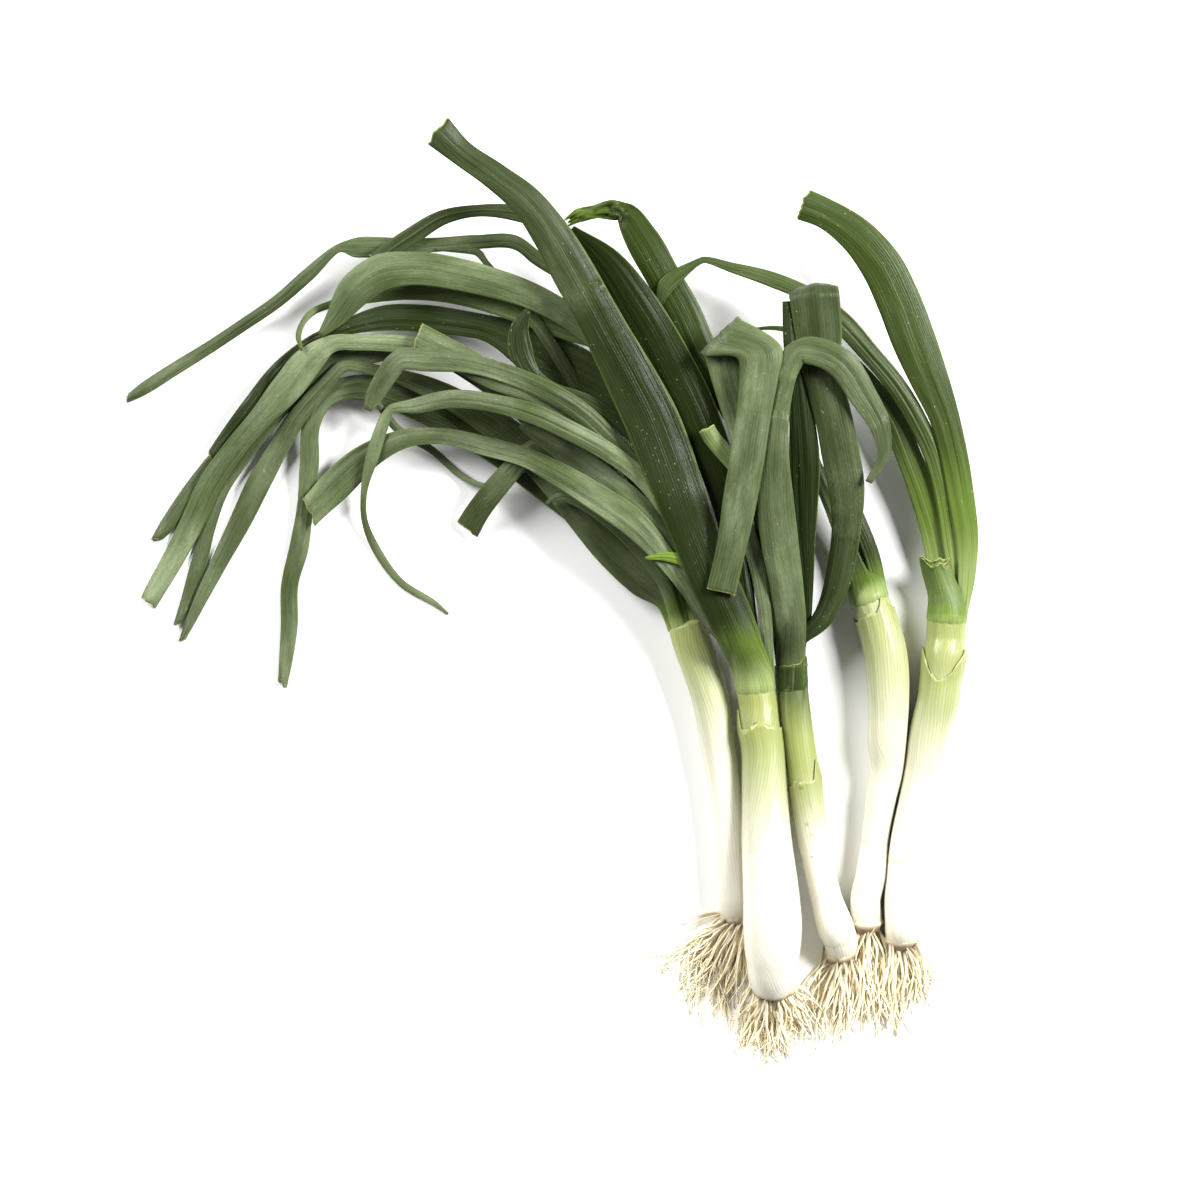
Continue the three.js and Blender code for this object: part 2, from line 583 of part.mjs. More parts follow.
// Sections of a leaf in plan, closer together where it bends.
function leafSections(leaf, neck) {
  const route = fullRoute(leaf, neck);
  const curve = new THREE.CatmullRomCurve3(
    route.map(([x, y, width]) => new THREE.Vector3(x, y, width)), false, "centripetal");
  const fine = curve.getPoints(route.length * ROUTE_DETAIL);
  const travelled = [0];
  for (let i = 1; i < fine.length; i++) {
    const step = Math.hypot(fine[i].x - fine[i - 1].x, fine[i].y - fine[i - 1].y);
    travelled.push(travelled[i - 1] + step);
  }
  const heading = (i) => {
    const p = fine[Math.max(i - 1, 0)];
    const q = fine[Math.min(i + 1, fine.length - 1)];
    return Math.atan2(q.y - p.y, q.x - p.x);
  };
  const turned = (i, j) => Math.abs(Math.atan2(
    Math.sin(heading(i) - heading(j)), Math.cos(heading(i) - heading(j))));
  const picks = [0];
  for (let i = 1; i < fine.length - 1; i++) {
    const from = picks.at(-1);
    const far = travelled[i] - travelled[from] > LONGEST_STEP;
    const bent = turned(i, from) > TURN_PER_STEP && travelled[i] - travelled[from] > SHORTEST_STEP;
    if (far || bent) picks.push(i);
  }
  const length = travelled.at(-1);
  if (length - travelled[picks.at(-1)] < SHORTEST_LAST_STEP) picks.pop();
  picks.push(fine.length - 1);
  return picks.map((i) => {
    const way = heading(i);
    const half = Math.max(fine[i].z, NARROWEST);
    const open = clamp(1 - travelled[i] / CAMBER_FADE, 0, 1);
    return {
      x: fine[i].x,
      y: fine[i].y,
      across: new THREE.Vector2(-Math.sin(way), Math.cos(way)),
      half,
      camber: half * (CAMBER + leaf.roll * open),
      distance: travelled[i],
      own: along(leaf.heights, travelled[i] / length),
    };
  });
}

// A section given by its left and right margins, which needn't lie square to the leaf.
function sectionBetween([left, right], distance, own) {
  const across = new THREE.Vector2(left[0] - right[0], left[1] - right[1]);
  const half = across.length() / 2;
  return {
    x: (left[0] + right[0]) / 2,
    y: (left[1] + right[1]) / 2,
    across: across.normalize(),
    half,
    camber: half * CAMBER,
    distance,
    own,
  };
}

// Sections of the part of a leaf that lies back over the rest, from its crease.
function foldedSections({ heights, margins }, distance) {
  const sections = [];
  margins.forEach((pair, i) => {
    const section = sectionBetween(pair, distance, along(heights, i / (margins.length - 1)));
    const before = sections.at(-1);
    if (before) {
      section.distance = before.distance + Math.hypot(section.x - before.x, section.y - before.y);
    }
    sections.push({ ...section, turned: Math.PI });
  });
  return sections;
}

// The height of what has been laid so far, on a fine grid over the plan.
const CELL = 0.5;
const REACH = 230;
const CELLS = Math.ceil((2 * REACH) / CELL);
const laid = new Float32Array(CELLS * CELLS);
const cellOf = (x, y) =>
  Math.round((x + REACH) / CELL) + CELLS * Math.round((y + REACH) / CELL);

// Visits points spread over a leaf between two of its sections.
function overBlade(a, b, visit) {
  const length = Math.hypot(b.x - a.x, b.y - a.y);
  const reach = Math.max(a.half, b.half);
  const steps = Math.ceil((length + reach) / CELL);
  const spread = Math.ceil((2 * reach) / CELL) + 1;
  for (let i = 0; i <= steps; i++) {
    const t = i / steps;
    for (let j = 0; j <= spread; j++) {
      const u = (2 * j) / spread - 1;
      const x = lerp(a.x + a.across.x * a.half * u, b.x + b.across.x * b.half * u, t);
      const y = lerp(a.y + a.across.y * a.half * u, b.y + b.across.y * b.half * u, t);
      const rise = (1 - Math.abs(u)) * lerp(a.camber, b.camber, t);
      const thick = lerp(BLADE_HALF_THICKNESS, BLADE_HALF_EDGE, Math.abs(u));
      visit(x, y, t, rise, thick);
    }
  }
}

// Lifts a run of sections clear of what is laid, bends them smoothly, and lays them.
function lay(sections) {
  const edges = sections.map((s) => s.own - s.camber / 2);
  const raise = (i, height) => {
    edges[i] = Math.max(edges[i], height);
  };
  for (let i = 0; i + 1 < sections.length; i++) {
    const needs = new Map();
    overBlade(sections[i], sections[i + 1], (x, y, t, rise, thick) => {
      const cell = cellOf(x, y);
      let below = 0;
      for (const row of [-CELLS, 0, CELLS]) {
        for (const side of [-1, 0, 1]) below = Math.max(below, laid[cell + row + side]);
      }
      const needed = below + LEAF_CLEARANCE + thick - rise;
      needs.set(t, Math.max(needs.get(t) ?? 0, needed));
    });
    // The worst place is cleared first, so that neither section is lifted too far.
    for (let pass = 0; pass < CLEARING_PASSES; pass++) {
      let worst = { missing: 0, t: 0 };
      for (const [t, needed] of needs) {
        const missing = needed - lerp(edges[i], edges[i + 1], t);
        if (missing > worst.missing) worst = { missing, t };
      }
      const { missing, t } = worst;
      const share = missing / (t * t + (1 - t) * (1 - t));
      edges[i] += share * (1 - t);
      edges[i + 1] += share * t;
    }
  }
  // It arches over what it rests on, and sags between, no tighter than its stiffness.
  const apart = (i, j) => sections[i].distance - sections[j].distance;
  const rests = [...edges];
  for (let i = 1; i < sections.length; i++) {
    rests.forEach((height, j) => raise(i, height - apart(i, j) ** 2 / (2 * TIGHTEST_RISE)));
  }
  for (let pass = 0; pass < SAG_PASSES; pass++) {
    for (let i = 1; i + 1 < sections.length; i++) {
      const [before, after] = [apart(i, i - 1), apart(i + 1, i)];
      const straight = lerp(edges[i - 1], edges[i + 1], before / (before + after));
      raise(i, straight - (before * after) / (2 * TIGHTEST_RISE));
    }
  }
  sections.forEach((s, i) => {
    s.edge = edges[i];
  });
  for (let i = 0; i + 1 < sections.length; i++) {
    const [a, b] = [sections[i], sections[i + 1]];
    overBlade(a, b, (x, y, t, rise, thick) => {
      const cell = cellOf(x, y);
      const top = lerp(a.edge, b.edge, t) + rise + thick;
      laid[cell] = Math.max(laid[cell], top);
    });
  }
}

// The sections round a folded edge: they leave the crease outwards and come back to it
// higher up.
function aroundFold(low, high) {
  const radius = (high.edge - low.edge) / 2;
  return FOLD_TURNS.map((degrees) => {
    const turned = THREE.MathUtils.degToRad(degrees);
    const out = radius * Math.sin(turned);
    return {
      ...low,
      turned,
      x: low.x + low.across.y * out,
      y: low.y - low.across.x * out,
      edge: low.edge + radius * (1 - Math.cos(turned)),
      camber: low.camber * Math.abs(Math.cos(turned)),
    };
  });
}

// A blade: six corners a section, thick at the midrib and thinner at the margins.
function bladeGeometry(sections) {
  const corners = [[-1, -1], [0, -1], [1, -1], [1, 1], [0, 1], [-1, 1]];
  const rings = sections.map((s) => corners.map(([u, v]) => {
    const middle = u === 0;
    const thick = middle ? BLADE_HALF_THICKNESS : BLADE_HALF_EDGE;
    const inward = v * thick * Math.sin(s.turned ?? 0);
    return new THREE.Vector3(
      s.x + s.across.x * s.half * u - s.across.y * inward,
      s.y + s.across.y * s.half * u + s.across.x * inward,
      s.edge + (middle ? s.camber : 0) + v * thick * Math.cos(s.turned ?? 0));
  }));
  const endMiddle = (s) => new THREE.Vector3(s.x, s.y, s.edge + s.camber);
  return skin(rings, endMiddle(sections[0]), endMiddle(sections.at(-1)), (side) => side > 2);
}

// ---- Roots --------------------------------------------------------------------
function solidOf(geometry) {
  geometry.deleteAttribute("normal");
  geometry.deleteAttribute("uv");
  const merged = mergeVertices(geometry, 1e-4);
  return new wasm.Manifold(new wasm.Mesh({
    numProp: 3,
    vertProperties: merged.attributes.position.array,
    triVerts: new Uint32Array(merged.index.array),
  }));
}

function geometryOf(solid) {
  const mesh = solid.getMesh();
  const geometry = new THREE.BufferGeometry();
  geometry.setAttribute("position", new THREE.BufferAttribute(mesh.vertProperties, 3));
  geometry.setIndex(new THREE.BufferAttribute(mesh.triVerts, 1));
  return geometry;
}

// A thin root through the points, tapering to its tip.
function rootSolid(points, radius) {
  const rings = points.map((p, i) => {
    const q = points[Math.min(i + 1, points.length - 1)];
    const o = points[Math.max(i - 1, 0)];
    const ahead = new THREE.Vector3().subVectors(q, o).normalize();
    const across = new THREE.Vector3(-ahead.y, ahead.x, 0).normalize();
    const up = new THREE.Vector3().crossVectors(ahead, across);
    const size = radius * (1 - ROOT_TAPER * i / (points.length - 1));
    return ROOT_CORNERS.map((degrees) => {
      const angle = THREE.MathUtils.degToRad(degrees);
      return p.clone()
        .addScaledVector(across, Math.cos(angle) * size)
        .addScaledVector(up, Math.sin(angle) * size);
    });
  });
  return solidOf(skin(rings, points[0], points.at(-1), () => false));
}

// The root plate: a short blunt cone behind the end of the shank.
function plateSolid(end) {
  const { middle, ahead, radius } = end;
  const across = new THREE.Vector3(-ahead.y, ahead.x, 0);
  const up = new THREE.Vector3(0, 0, 1);
  const at = (back) => new THREE.Vector3(
    middle.x - ahead.x * back, middle.y - ahead.y * back, middle.z);
  const rings = PLATE_RINGS.map(([back, share]) =>
    Array.from({ length: PLATE_SIDES }, (_, i) => {
      const angle = (-2 * Math.PI * i) / PLATE_SIDES;
      return at(back)
        .addScaledVector(across, Math.cos(angle) * radius * share)
        .addScaledVector(up, Math.sin(angle) * radius * share);
    }));
  return solidOf(skin(rings, at(PLATE_RINGS[0][0]), at(PLATE_RINGS.at(-1)[0]), () => false));
}

// A plate with its roots, which fan out and sink to the surface.
function tuftGeometry(end, { near, far }, random) {
  const plate = plateSolid(end);
  const core = end.middle.clone();
  core.x -= end.ahead.x * ROOT_SOURCE;
  core.y -= end.ahead.y * ROOT_SOURCE;
  let solid = plate;
  for (let k = 0; k < ROOTS_PER_TUFT; k++) {
    const place = (k + 0.2 + 0.6 * random()) / ROOTS_PER_TUFT;
    const reach = lerp(SHORTEST_ROOT, 1, random());
    const spin = random() * 2 * Math.PI;
    const rise = (random() - 0.5) * end.radius;
    const landing = ROOT_RADIUS + 0.3 + ROOT_PILE * random() * random();
    const points = ROOT_STEPS.map((share) => {
      const s = share * reach;
      const q = clamp(place + ROOT_SWAY * Math.sin(spin + 5 * share) * share, 0.02, 0.98);
      const x = lerp(lerp(near[0][0], near[1][0], q), lerp(far[0][0], far[1][0], q), s);
      const y = lerp(lerp(near[0][1], near[1][1], q), lerp(far[0][1], far[1][1], q), s);
      const z = lerp(core.z + rise, landing, Math.sqrt(share));
      const wave = ROOT_WAVE * Math.sin(spin + 4 * share) * share * (1 - share);
      return new THREE.Vector3(x, y, z + wave);
    });
    const sunk = points[0].clone().lerp(core, ROOT_SUNK);
    solid = solid.add(rootSolid([sunk, ...points], ROOT_RADIUS));
  }
  // The largest skin alone: hollows that the roots seal between them are filled.
  const skins = solid.decompose().sort((a, b) => b.volume() - a.volume());
  return geometryOf(skins[0]);
}

// ---- The bunch ----------------------------------------------------------------
function addMesh(group, name, geometry, color, roughness) {
  const material = new THREE.MeshStandardMaterial({ color, roughness, metalness: 0 });
  const mesh = new THREE.Mesh(geometry, material);
  mesh.name = name;
  group.add(mesh);
}

const bunch = new THREE.Group();
const random = makeRandom(ROOT_SEED);
const necks = {};
for (const [onion, shank] of Object.entries(SHANKS)) {
  const sections = shankSections(shank);
  necks[onion] = sections.at(-1);
  addMesh(bunch, `onion_${onion}_shank`, shankGeometry(sections), WHITE, 0.35);
  const tuft = tuftGeometry(sections[0], TUFTS[onion], random);
  addMesh(bunch, `onion_${onion}_roots`, tuft, CREAM, 0.8);
}

const sectionsOf = LEAVES.map((leaf) => leafSections(leaf, necks[leaf.onion]));
LEAVES.forEach(({ fold, heights }, i) => {
  const sections = sectionsOf[i];
  if (fold) {
    const { distance, x, y } = sections.at(-1);
    const crease = sectionBetween(fold.margins[0], distance, heights.at(-1));
    crease.distance += Math.hypot(crease.x - x, crease.y - y);
    sections.push(crease);
  }
  lay(sections);
});
LEAVES.forEach(({ fold }, i) => {
  if (!fold) return;
  const rising = sectionsOf[i];
  const back = foldedSections(fold, rising.at(-1).distance);
  lay(back);
  sectionsOf[i] = [...rising, ...aroundFold(rising.at(-1), back[0]), ...back];
});

const counts = {};
LEAVES.forEach((leaf, i) => {
  counts[leaf.onion] = (counts[leaf.onion] || 0) + 1;
  const name = `onion_${leaf.onion}_leaf_${counts[leaf.onion]}`;
  addMesh(bunch, name, bladeGeometry(sectionsOf[i]), GREENS[i % GREENS.length], 0.5);
});

// The middle of the bunch comes over the origin.
const middle = new THREE.Box3().setFromObject(bunch).getCenter(new THREE.Vector3());
for (const mesh of bunch.children) mesh.position.set(-middle.x, -middle.y, 0);

export default bunch;
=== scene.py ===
import json
import math
import random

import bmesh
import bpy
import numpy as np
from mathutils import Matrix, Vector, noise

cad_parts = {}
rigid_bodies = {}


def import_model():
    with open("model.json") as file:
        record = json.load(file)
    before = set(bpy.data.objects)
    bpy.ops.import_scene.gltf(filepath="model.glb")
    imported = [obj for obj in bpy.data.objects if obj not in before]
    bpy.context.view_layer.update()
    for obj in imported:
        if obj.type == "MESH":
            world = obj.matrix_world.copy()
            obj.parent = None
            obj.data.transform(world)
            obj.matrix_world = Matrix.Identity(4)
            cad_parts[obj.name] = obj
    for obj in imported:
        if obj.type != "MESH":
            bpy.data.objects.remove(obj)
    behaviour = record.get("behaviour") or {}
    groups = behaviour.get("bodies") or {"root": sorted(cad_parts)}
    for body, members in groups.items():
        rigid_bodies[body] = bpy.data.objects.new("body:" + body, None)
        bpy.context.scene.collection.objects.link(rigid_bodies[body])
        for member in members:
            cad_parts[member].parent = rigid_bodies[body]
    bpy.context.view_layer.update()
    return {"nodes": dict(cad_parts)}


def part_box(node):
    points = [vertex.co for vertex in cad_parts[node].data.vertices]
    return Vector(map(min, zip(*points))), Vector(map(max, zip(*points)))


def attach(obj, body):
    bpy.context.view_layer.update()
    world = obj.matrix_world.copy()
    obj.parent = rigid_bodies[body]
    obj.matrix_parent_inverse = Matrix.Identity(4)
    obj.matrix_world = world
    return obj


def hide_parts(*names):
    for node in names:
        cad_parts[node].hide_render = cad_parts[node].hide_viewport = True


bl_info = {
    "name": "Spring onion bunch",
    "version": (1, 0, 0),
    "blender": (4, 5, 0),
    "location": "3D View > Sidebar > Spring onions",
    "description": "Leaves, shanks, sheaths and roots of a bunch of spring onions",
    "category": "Object",
}

for leftover in list(bpy.data.objects):
    bpy.data.objects.remove(leftover)
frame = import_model()

MM = 0.001
UP = np.array((0.0, 0.0, 1.0))
ONIONS = "abcde"
LEAF_CORNERS = 6  # in a section of a leaf's node, and in a shank's
SHANK_CORNERS = 12
LEAF_NODES = sorted(name for name in frame["nodes"] if "_leaf_" in name)

# How far (mm) the green of a leaf fades towards its onion's neck.
FADE = {"a": 24, "b": 26, "c": 4, "d": 26, "e": 110}

# Leaves with something of their own.
# slant: how much longer (mm) one margin of a cut end is. Without it the tip is pointed.
# ragged: how uneven the cut is, if not RAGGED.
# tone: 0 for a dark clean leaf, 1 for a pale waxy one, if not TONE. On onion_a_leaf_6 it also
# paints a highlight.
# far: [share of the length from which the tone changes, tone there].
# young: how yellow the leaf is all along.
# tip: [how yellow its end is, over how many mm].
# fade: as in FADE, for this leaf alone.
# wrap: how far round the neck the base reaches, 1 being half way. Such a leaf lies
# outside the others.
# broad: [how many times as broad the base is, over how many mm that wears off].
# fill: [mm by which the left margin stands out, shares of the length where that starts,
# is full, is still full and ends].
# kinks: [share of the length, depth in mm] of each crease across the leaf.
# crumple: [share of the length from which it is crumpled, depth in mm].
# curl: [radius in mm, turn in radians] of a curled end, which turns up if over 0.
RAGGED = 0.4
TONE = 0.5
LEAVES = {
    "onion_a_leaf_1": {"slant": 3, "ragged": 0.8, "tone": 0.6},
    "onion_a_leaf_2": {"tone": 0.85},
    "onion_a_leaf_3": {"slant": -2, "kinks": [[0.55, 0.7]]},
    "onion_a_leaf_4": {"slant": -2},
    "onion_a_leaf_5": {"slant": -2, "tone": 0.4},
    # Its high tone is partly wax and partly a painted highlight.
    "onion_a_leaf_6": {"slant": 1, "ragged": 0.5, "tone": 1.0, "kinks": [[0.62, 0.8]]},
    "onion_a_leaf_7": {"tone": 0.3},
    "onion_a_leaf_8": {"slant": 1.5},
    "onion_b_leaf_1": {
        "slant": 2, "tone": 0.1, "kinks": [[0.5, 0.6]],
        "fill": [11, 0.22, 0.36, 0.50, 0.60],
    },
    "onion_b_leaf_2": {"tone": 0.85, "kinks": [[0.6, 0.5]]},
    "onion_b_leaf_3": {"tone": 0.1},
    "onion_b_leaf_4": {"slant": -1, "ragged": 0.5, "tone": 0.55},
    "onion_b_leaf_6": {"slant": 5, "ragged": 0.5, "tone": 0.9},
    "onion_b_leaf_7": {"tone": 0.65, "kinks": [[0.72, 0.7]]},
    "onion_b_leaf_8": {"tone": 0.9},
    "onion_b_leaf_9": {"tone": 0.2, "young": 1.0},
    "onion_b_leaf_10": {"tone": 0.0},
    "onion_b_leaf_11": {"tone": 0.75},
    "onion_b_leaf_12": {
        "slant": -2, "ragged": 0.8, "tone": 0.06, "wrap": 0.97, "fade": 44,
        "kinks": [[0.66, 0.8]], "far": [0.62, 0.2],
    },
    "onion_c_leaf_1": {"tone": 0.45, "young": 0.2},
    "onion_c_leaf_2": {"slant": 1.5, "ragged": 0.3, "tone": 0.52},
    "onion_c_leaf_3": {"slant": 0, "ragged": 0.3, "tone": 0.2},
    "onion_c_leaf_4": {
        "slant": 2, "ragged": 2.0, "tone": 0.05, "young": 0.1, "crumple": [0.86, 4.2],
        "tip": [0.55, 34],
    },
    "onion_c_leaf_5": {"slant": 1, "ragged": 0.2, "tone": 0.85, "young": 0.35},
    "onion_c_leaf_6": {"tone": 0.05},
    "onion_c_leaf_7": {
        "slant": 1, "ragged": 0.2, "tone": 0.25,
        "kinks": [[0.36, 1.0], [0.42, 0.8], [0.50, 0.6]], "curl": [3.2, -2.6],
    },
    "onion_c_leaf_8": {"slant": -1, "ragged": 0.3, "tone": 0.7, "kinks": [[0.55, 0.8]]},
    "onion_c_leaf_9": {
        "tone": 0.62, "wrap": 0.9, "kinks": [[0.5, 0.8], [0.585, 1.2], [0.88, 0.7]],
    },
    "onion_d_leaf_1": {
        "slant": 0, "ragged": 0.5, "tone": 0.35, "wrap": 1.0, "broad": [1.45, 60],
    },
    "onion_d_leaf_2": {"tone": 0.3, "broad": [1.6, 60]},
    "onion_e_leaf_1": {"tone": 0.3, "young": 0.1, "broad": [1.3, 60]},
    "onion_e_leaf_2": {"tone": 0.3, "young": 0.1, "broad": [2.2, 90]},
    "onion_e_leaf_3": {
        "slant": -2.5, "ragged": 1.0, "tone": 0.12, "young": 0.14, "broad": [2.1, 90],
    },
    "onion_e_leaf_4": {
        "slant": 3, "ragged": 1.5, "young": 0.45, "wrap": 1.0, "fade": 13,
        "curl": [4.0, 1.2], "tip": [0.6, 5],
    },
}

# Loose ends of the outer sheaths.
# low and high: shares of the shank's length between which the sheath lies.
# ragged: unevenness (mm) of its upper edge.
# flap: [angle, height in mm, half its width as an angle] of a pointed flap, or of a notch
# if the height is under 0. Angles run in radians from the right-hand side over the top.
SHEATHS = [
    {"onion": "b", "low": 0.30, "high": 0.875, "ragged": 3.0, "flap": [2.9, 8, 0.35]},
    {"onion": "c", "low": 0.25, "high": 0.60, "ragged": 3.5, "flap": [0.6, 9, 0.5]},
    {"onion": "c", "low": 0.88, "high": 1.01, "ragged": 1.6, "flap": [0.5, 4, 0.6]},
    {"onion": "d", "low": 0.50, "high": 0.95, "ragged": 2.0, "flap": [1.0, 6, 0.45]},
    {"onion": "e", "low": 0.30, "high": 0.91, "ragged": 0.8, "flap": [1.75, -13, 1.5]},
]

# Each shank.
# white: share of its length at which it starts to turn green.
# green: how green its neck is. Over 1 it turns as dark as a leaf.
# blunt: share by which its very foot is broader than its node's.
# skins: how far (mm) from the foot each old skin ends.
SHANKS = {
    "a": {"white": 0.25, "green": 0.75, "blunt": 0.8, "skins": ()},
    "b": {"white": 0.22, "green": 0.80, "blunt": 1.5, "skins": ()},
    "c": {"white": 0.28, "green": 1.60, "blunt": 1.1, "skins": (7,)},
    "d": {"white": 0.0, "green": 0.60, "blunt": 1.2, "skins": (13, 34)},
    "e": {"white": 0.22, "green": 0.80, "blunt": 1.1, "skins": (33,)},
}

# Each tuft of roots.
# left, right and behind: ends and middle (mm from the plate) of the curved front that the
# roots reach.
# count: how many roots leave the plate.
TUFTS = {
    "a": {"left": (-40, -20), "right": (4, -54), "behind": (-20, -48), "count": 100},
    "b": {"left": (-20, -27), "right": (27, -26), "behind": (0, -37), "count": 114},
    "c": {"left": (-18, -34), "right": (10, -38), "behind": (-5, -42), "count": 92},
    "d": {"left": (-10, -38), "right": (8, -46), "behind": (-2, -50), "count": 86},
    "e": {"left": (-14, -40), "right": (14, -22), "behind": (0, -43), "count": 92},
}


# ---- Settings ----
def colour(name, description, default):
    return bpy.props.FloatVectorProperty(
        name=name, description=description, default=default,
        size=3, min=0.0, max=1.0, subtype="COLOR")


def length(name, description, default):
    return bpy.props.FloatProperty(
        name=name, description=description, default=default,
        min=0.0, subtype="DISTANCE", unit="LENGTH")


class LeafSettings(bpy.types.PropertyGroup):
    deep: colour("Deep green", "Colour between the veins of a dark leaf", (0.009, 0.015, 0.003))
    lit: colour("Leaf green", "Colour along the veins", (0.041, 0.061, 0.010))
    bloom: colour("Bloom", "Colour of the wax on a leaf", (0.198, 0.240, 0.131))
    young: colour("Young green", "Colour of the margins and the base", (0.095, 0.145, 0.026))
    fresh: colour("Fresh green", "Colour of a young leaf", (0.15, 0.24, 0.03))
    base: colour("Base", "Colour where a leaf leaves its neck", (0.28, 0.34, 0.13))
    step: length("Step", "Distance between two sections of a leaf", 0.0018)
    thickness: length("Thickness", "Half the thickness of a blade", 0.0005)
    pleat: length("Pleats", "Height of the long folds in a leaf", 0.00014)


class ShankSettings(bpy.types.PropertyGroup):
    white: colour("White", "Colour of the bulb", (0.755, 0.725, 0.61))
    green: colour("Pale green", "Colour of the neck", (0.29, 0.315, 0.105))
    stripe: colour("Stripes", "Colour of the veins at the neck", (0.215, 0.265, 0.055))
    leaf: colour("Leaf green", "Colour of a neck that is green to its foot", (0.045, 0.075, 0.010))


class RootSettings(bpy.types.PropertyGroup):
    cream: colour("Cream", "Colour of a root", (0.97, 0.86, 0.58))
    plate: colour("Plate", "Colour of the root plate", (0.18, 0.11, 0.055))
    radius: length("Radius", "Radius of a root where it leaves the plate", 0.00069)


class StageSettings(bpy.types.PropertyGroup):
    floor: colour("Floor", "Colour of the floor", (0.94, 0.935, 0.925))
    width: length("Width", "Width of the floor that the camera sees", 0.504)
    lens: bpy.props.FloatProperty(
        name="Lens", description="Focal length", default=200.0, unit="CAMERA")


# ---- Reading the frame ----
def layers_from(start):
    """The points of a mesh in steps of one edge away from a point."""
    layers = [[start]]
    seen = {start}
    while layers[-1]:
        reached = []
        for vertex in layers[-1]:
            for edge in vertex.link_edges:
                other = edge.other_vert(vertex)
                if other not in seen:
                    seen.add(other)
                    reached.append(other)
        layers.append(reached)
    return layers[:-1]


def in_order(layer):
    """The places of a ring's points, in order round it."""
    ring = [layer[0]]
    rest = set(layer[1:])
    while rest:
        near = [e.other_vert(ring[-1]) for e in ring[-1].link_edges]
        following = next(v for v in near if v in rest)
        rest.remove(following)
        ring.append(following)
    return np.array([v.co for v in ring])


def rings_of(node, corners, near):
    """The sections of a long node, from the end that is nearer to a point."""
    mesh = bmesh.new()
    mesh.from_mesh(frame["nodes"][node].data)
    bmesh.ops.remove_doubles(mesh, verts=mesh.verts, dist=1e-6)
    found = []
    for vertex in mesh.verts:
        if len(vertex.link_edges) == corners:
            layers = layers_from(vertex)
            if {len(layer) for layer in layers[1:-1]} == {corners} and len(layers[-1]) == 1:
                found.append(layers)
    if not found:
        raise RuntimeError(f"{node} has no end to read its sections from")
    best = min(found, key=lambda layers: (layers[0][0].co - near).length)
    rings = [in_order(layer) for layer in best[1:-1]]
    mesh.free()
    return rings


def unit(vector):
    return vector / np.linalg.norm(vector, axis=-1, keepdims=True)


def shank_line(onion):
    """Middle and radius of each section of a shank, from its root end to its neck."""
    low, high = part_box(f"onion_{onion}_shank")
    near = Vector(((low[0] + high[0]) / 2, low[1], low[2]))
    rows = []
    for ring in rings_of(f"onion_{onion}_shank", SHANK_CORNERS, near):
        plan = ring[:, :2]
        gaps = np.linalg.norm(plan[:, None] - plan[None], axis=2)
        a, b = np.unravel_index(gaps.argmax(), gaps.shape)
        radius = gaps[a, b] / 2
        rows.append((*(plan[a] + plan[b]) / 2, ring[:, 2].max() - radius, radius))
    return np.array(rows)


def leaf_line(node, neck):
    """The sections of a leaf from its base: middle of the margins, half the way from
    margin to margin, upward direction, and rise of the midrib. One row each."""
    rings = rings_of(node, LEAF_CORNERS, Vector(neck))
    middles = np.array([ring.mean(axis=0) for ring in rings])
    headings = np.gradient(middles, axis=0)
    rows, last_up = [], UP
    for ring, heading in zip(rings, headings):
        best = None
        for order in (ring, ring[::-1]):
            for turn in range(LEAF_CORNERS):
                c = np.roll(order, turn, axis=0)
                right, left = (c[0] + c[5]) / 2, (c[2] + c[3]) / 2
                across, up = (left - right) / 2, unit(c[4] - c[1])
                if np.dot(np.cross(across, up), heading) <= 0 or np.dot(up, last_up) <= 0:
                    continue
                width = np.linalg.norm(across)
                if best is None or width > best[0]:
                    middle = (left + right) / 2
                    rise = np.dot((c[1] + c[4]) / 2 - middle, up)
                    best = (width, [*middle, *across, *up, rise])
        rows.append(best[1])
        last_up = np.array(best[1][6:9])
    return np.array(rows)


def refined(rows, step):
    """Rows of numbers at even steps along the line of their first three columns."""
    gaps = np.linalg.norm(np.diff(rows[:, :3], axis=0), axis=1)
    at = np.concatenate([[0.0], np.cumsum(gaps)])
    slopes = np.gradient(rows, at, axis=0)
    wanted = np.linspace(0.0, at[-1], max(int(round(at[-1] / step)), 4) + 1)
    i = np.clip(np.searchsorted(at, wanted, side="right") - 1, 0, len(gaps) - 1)
    before = gaps[np.maximum(i - 1, 0)]
    after = gaps[np.minimum(i + 1, len(gaps) - 1)]
    t = ((wanted - at[i]) / gaps[i])[:, None]
    leave = slopes[i] * np.minimum(gaps[i], 2 * before)[:, None]
    arrive = slopes[i + 1] * np.minimum(gaps[i], 2 * after)[:, None]
    fine = (
        (2 * t**3 - 3 * t**2 + 1) * rows[i] + (t**3 - 2 * t**2 + t) * leave
        + (3 * t**2 - 2 * t**3) * rows[i + 1] + (t**3 - t**2) * arrive
    )
    return fine, wanted


def smoothstep(value):
    value = np.clip(value, 0.0, 1.0)
    return value * value * (3 - 2 * value)


def wander(*place):
    """A smooth random number from -1 to 1 that depends on a place."""
    return noise.noise(Vector(place))


# ---- Mesh helpers ----
def add_piece(name, points, faces, values, material):
    """A smooth mesh object that carries named values at its points."""
    mesh = bpy.data.meshes.new(name)
    mesh.from_pydata([tuple(p) for p in points], [], faces)
    for label, rows in values.items():
        layer = mesh.attributes.new(label, "FLOAT_VECTOR", "POINT")
        layer.data.foreach_set("vector", np.asarray(rows, dtype=np.float32).ravel())
    mesh.polygons.foreach_set("use_smooth", [True] * len(mesh.polygons))
    mesh.materials.append(material)
    mesh.validate()
    piece = bpy.data.objects.new(name, mesh)
    bpy.context.scene.collection.objects.link(piece)
    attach(piece, "root")
    return piece


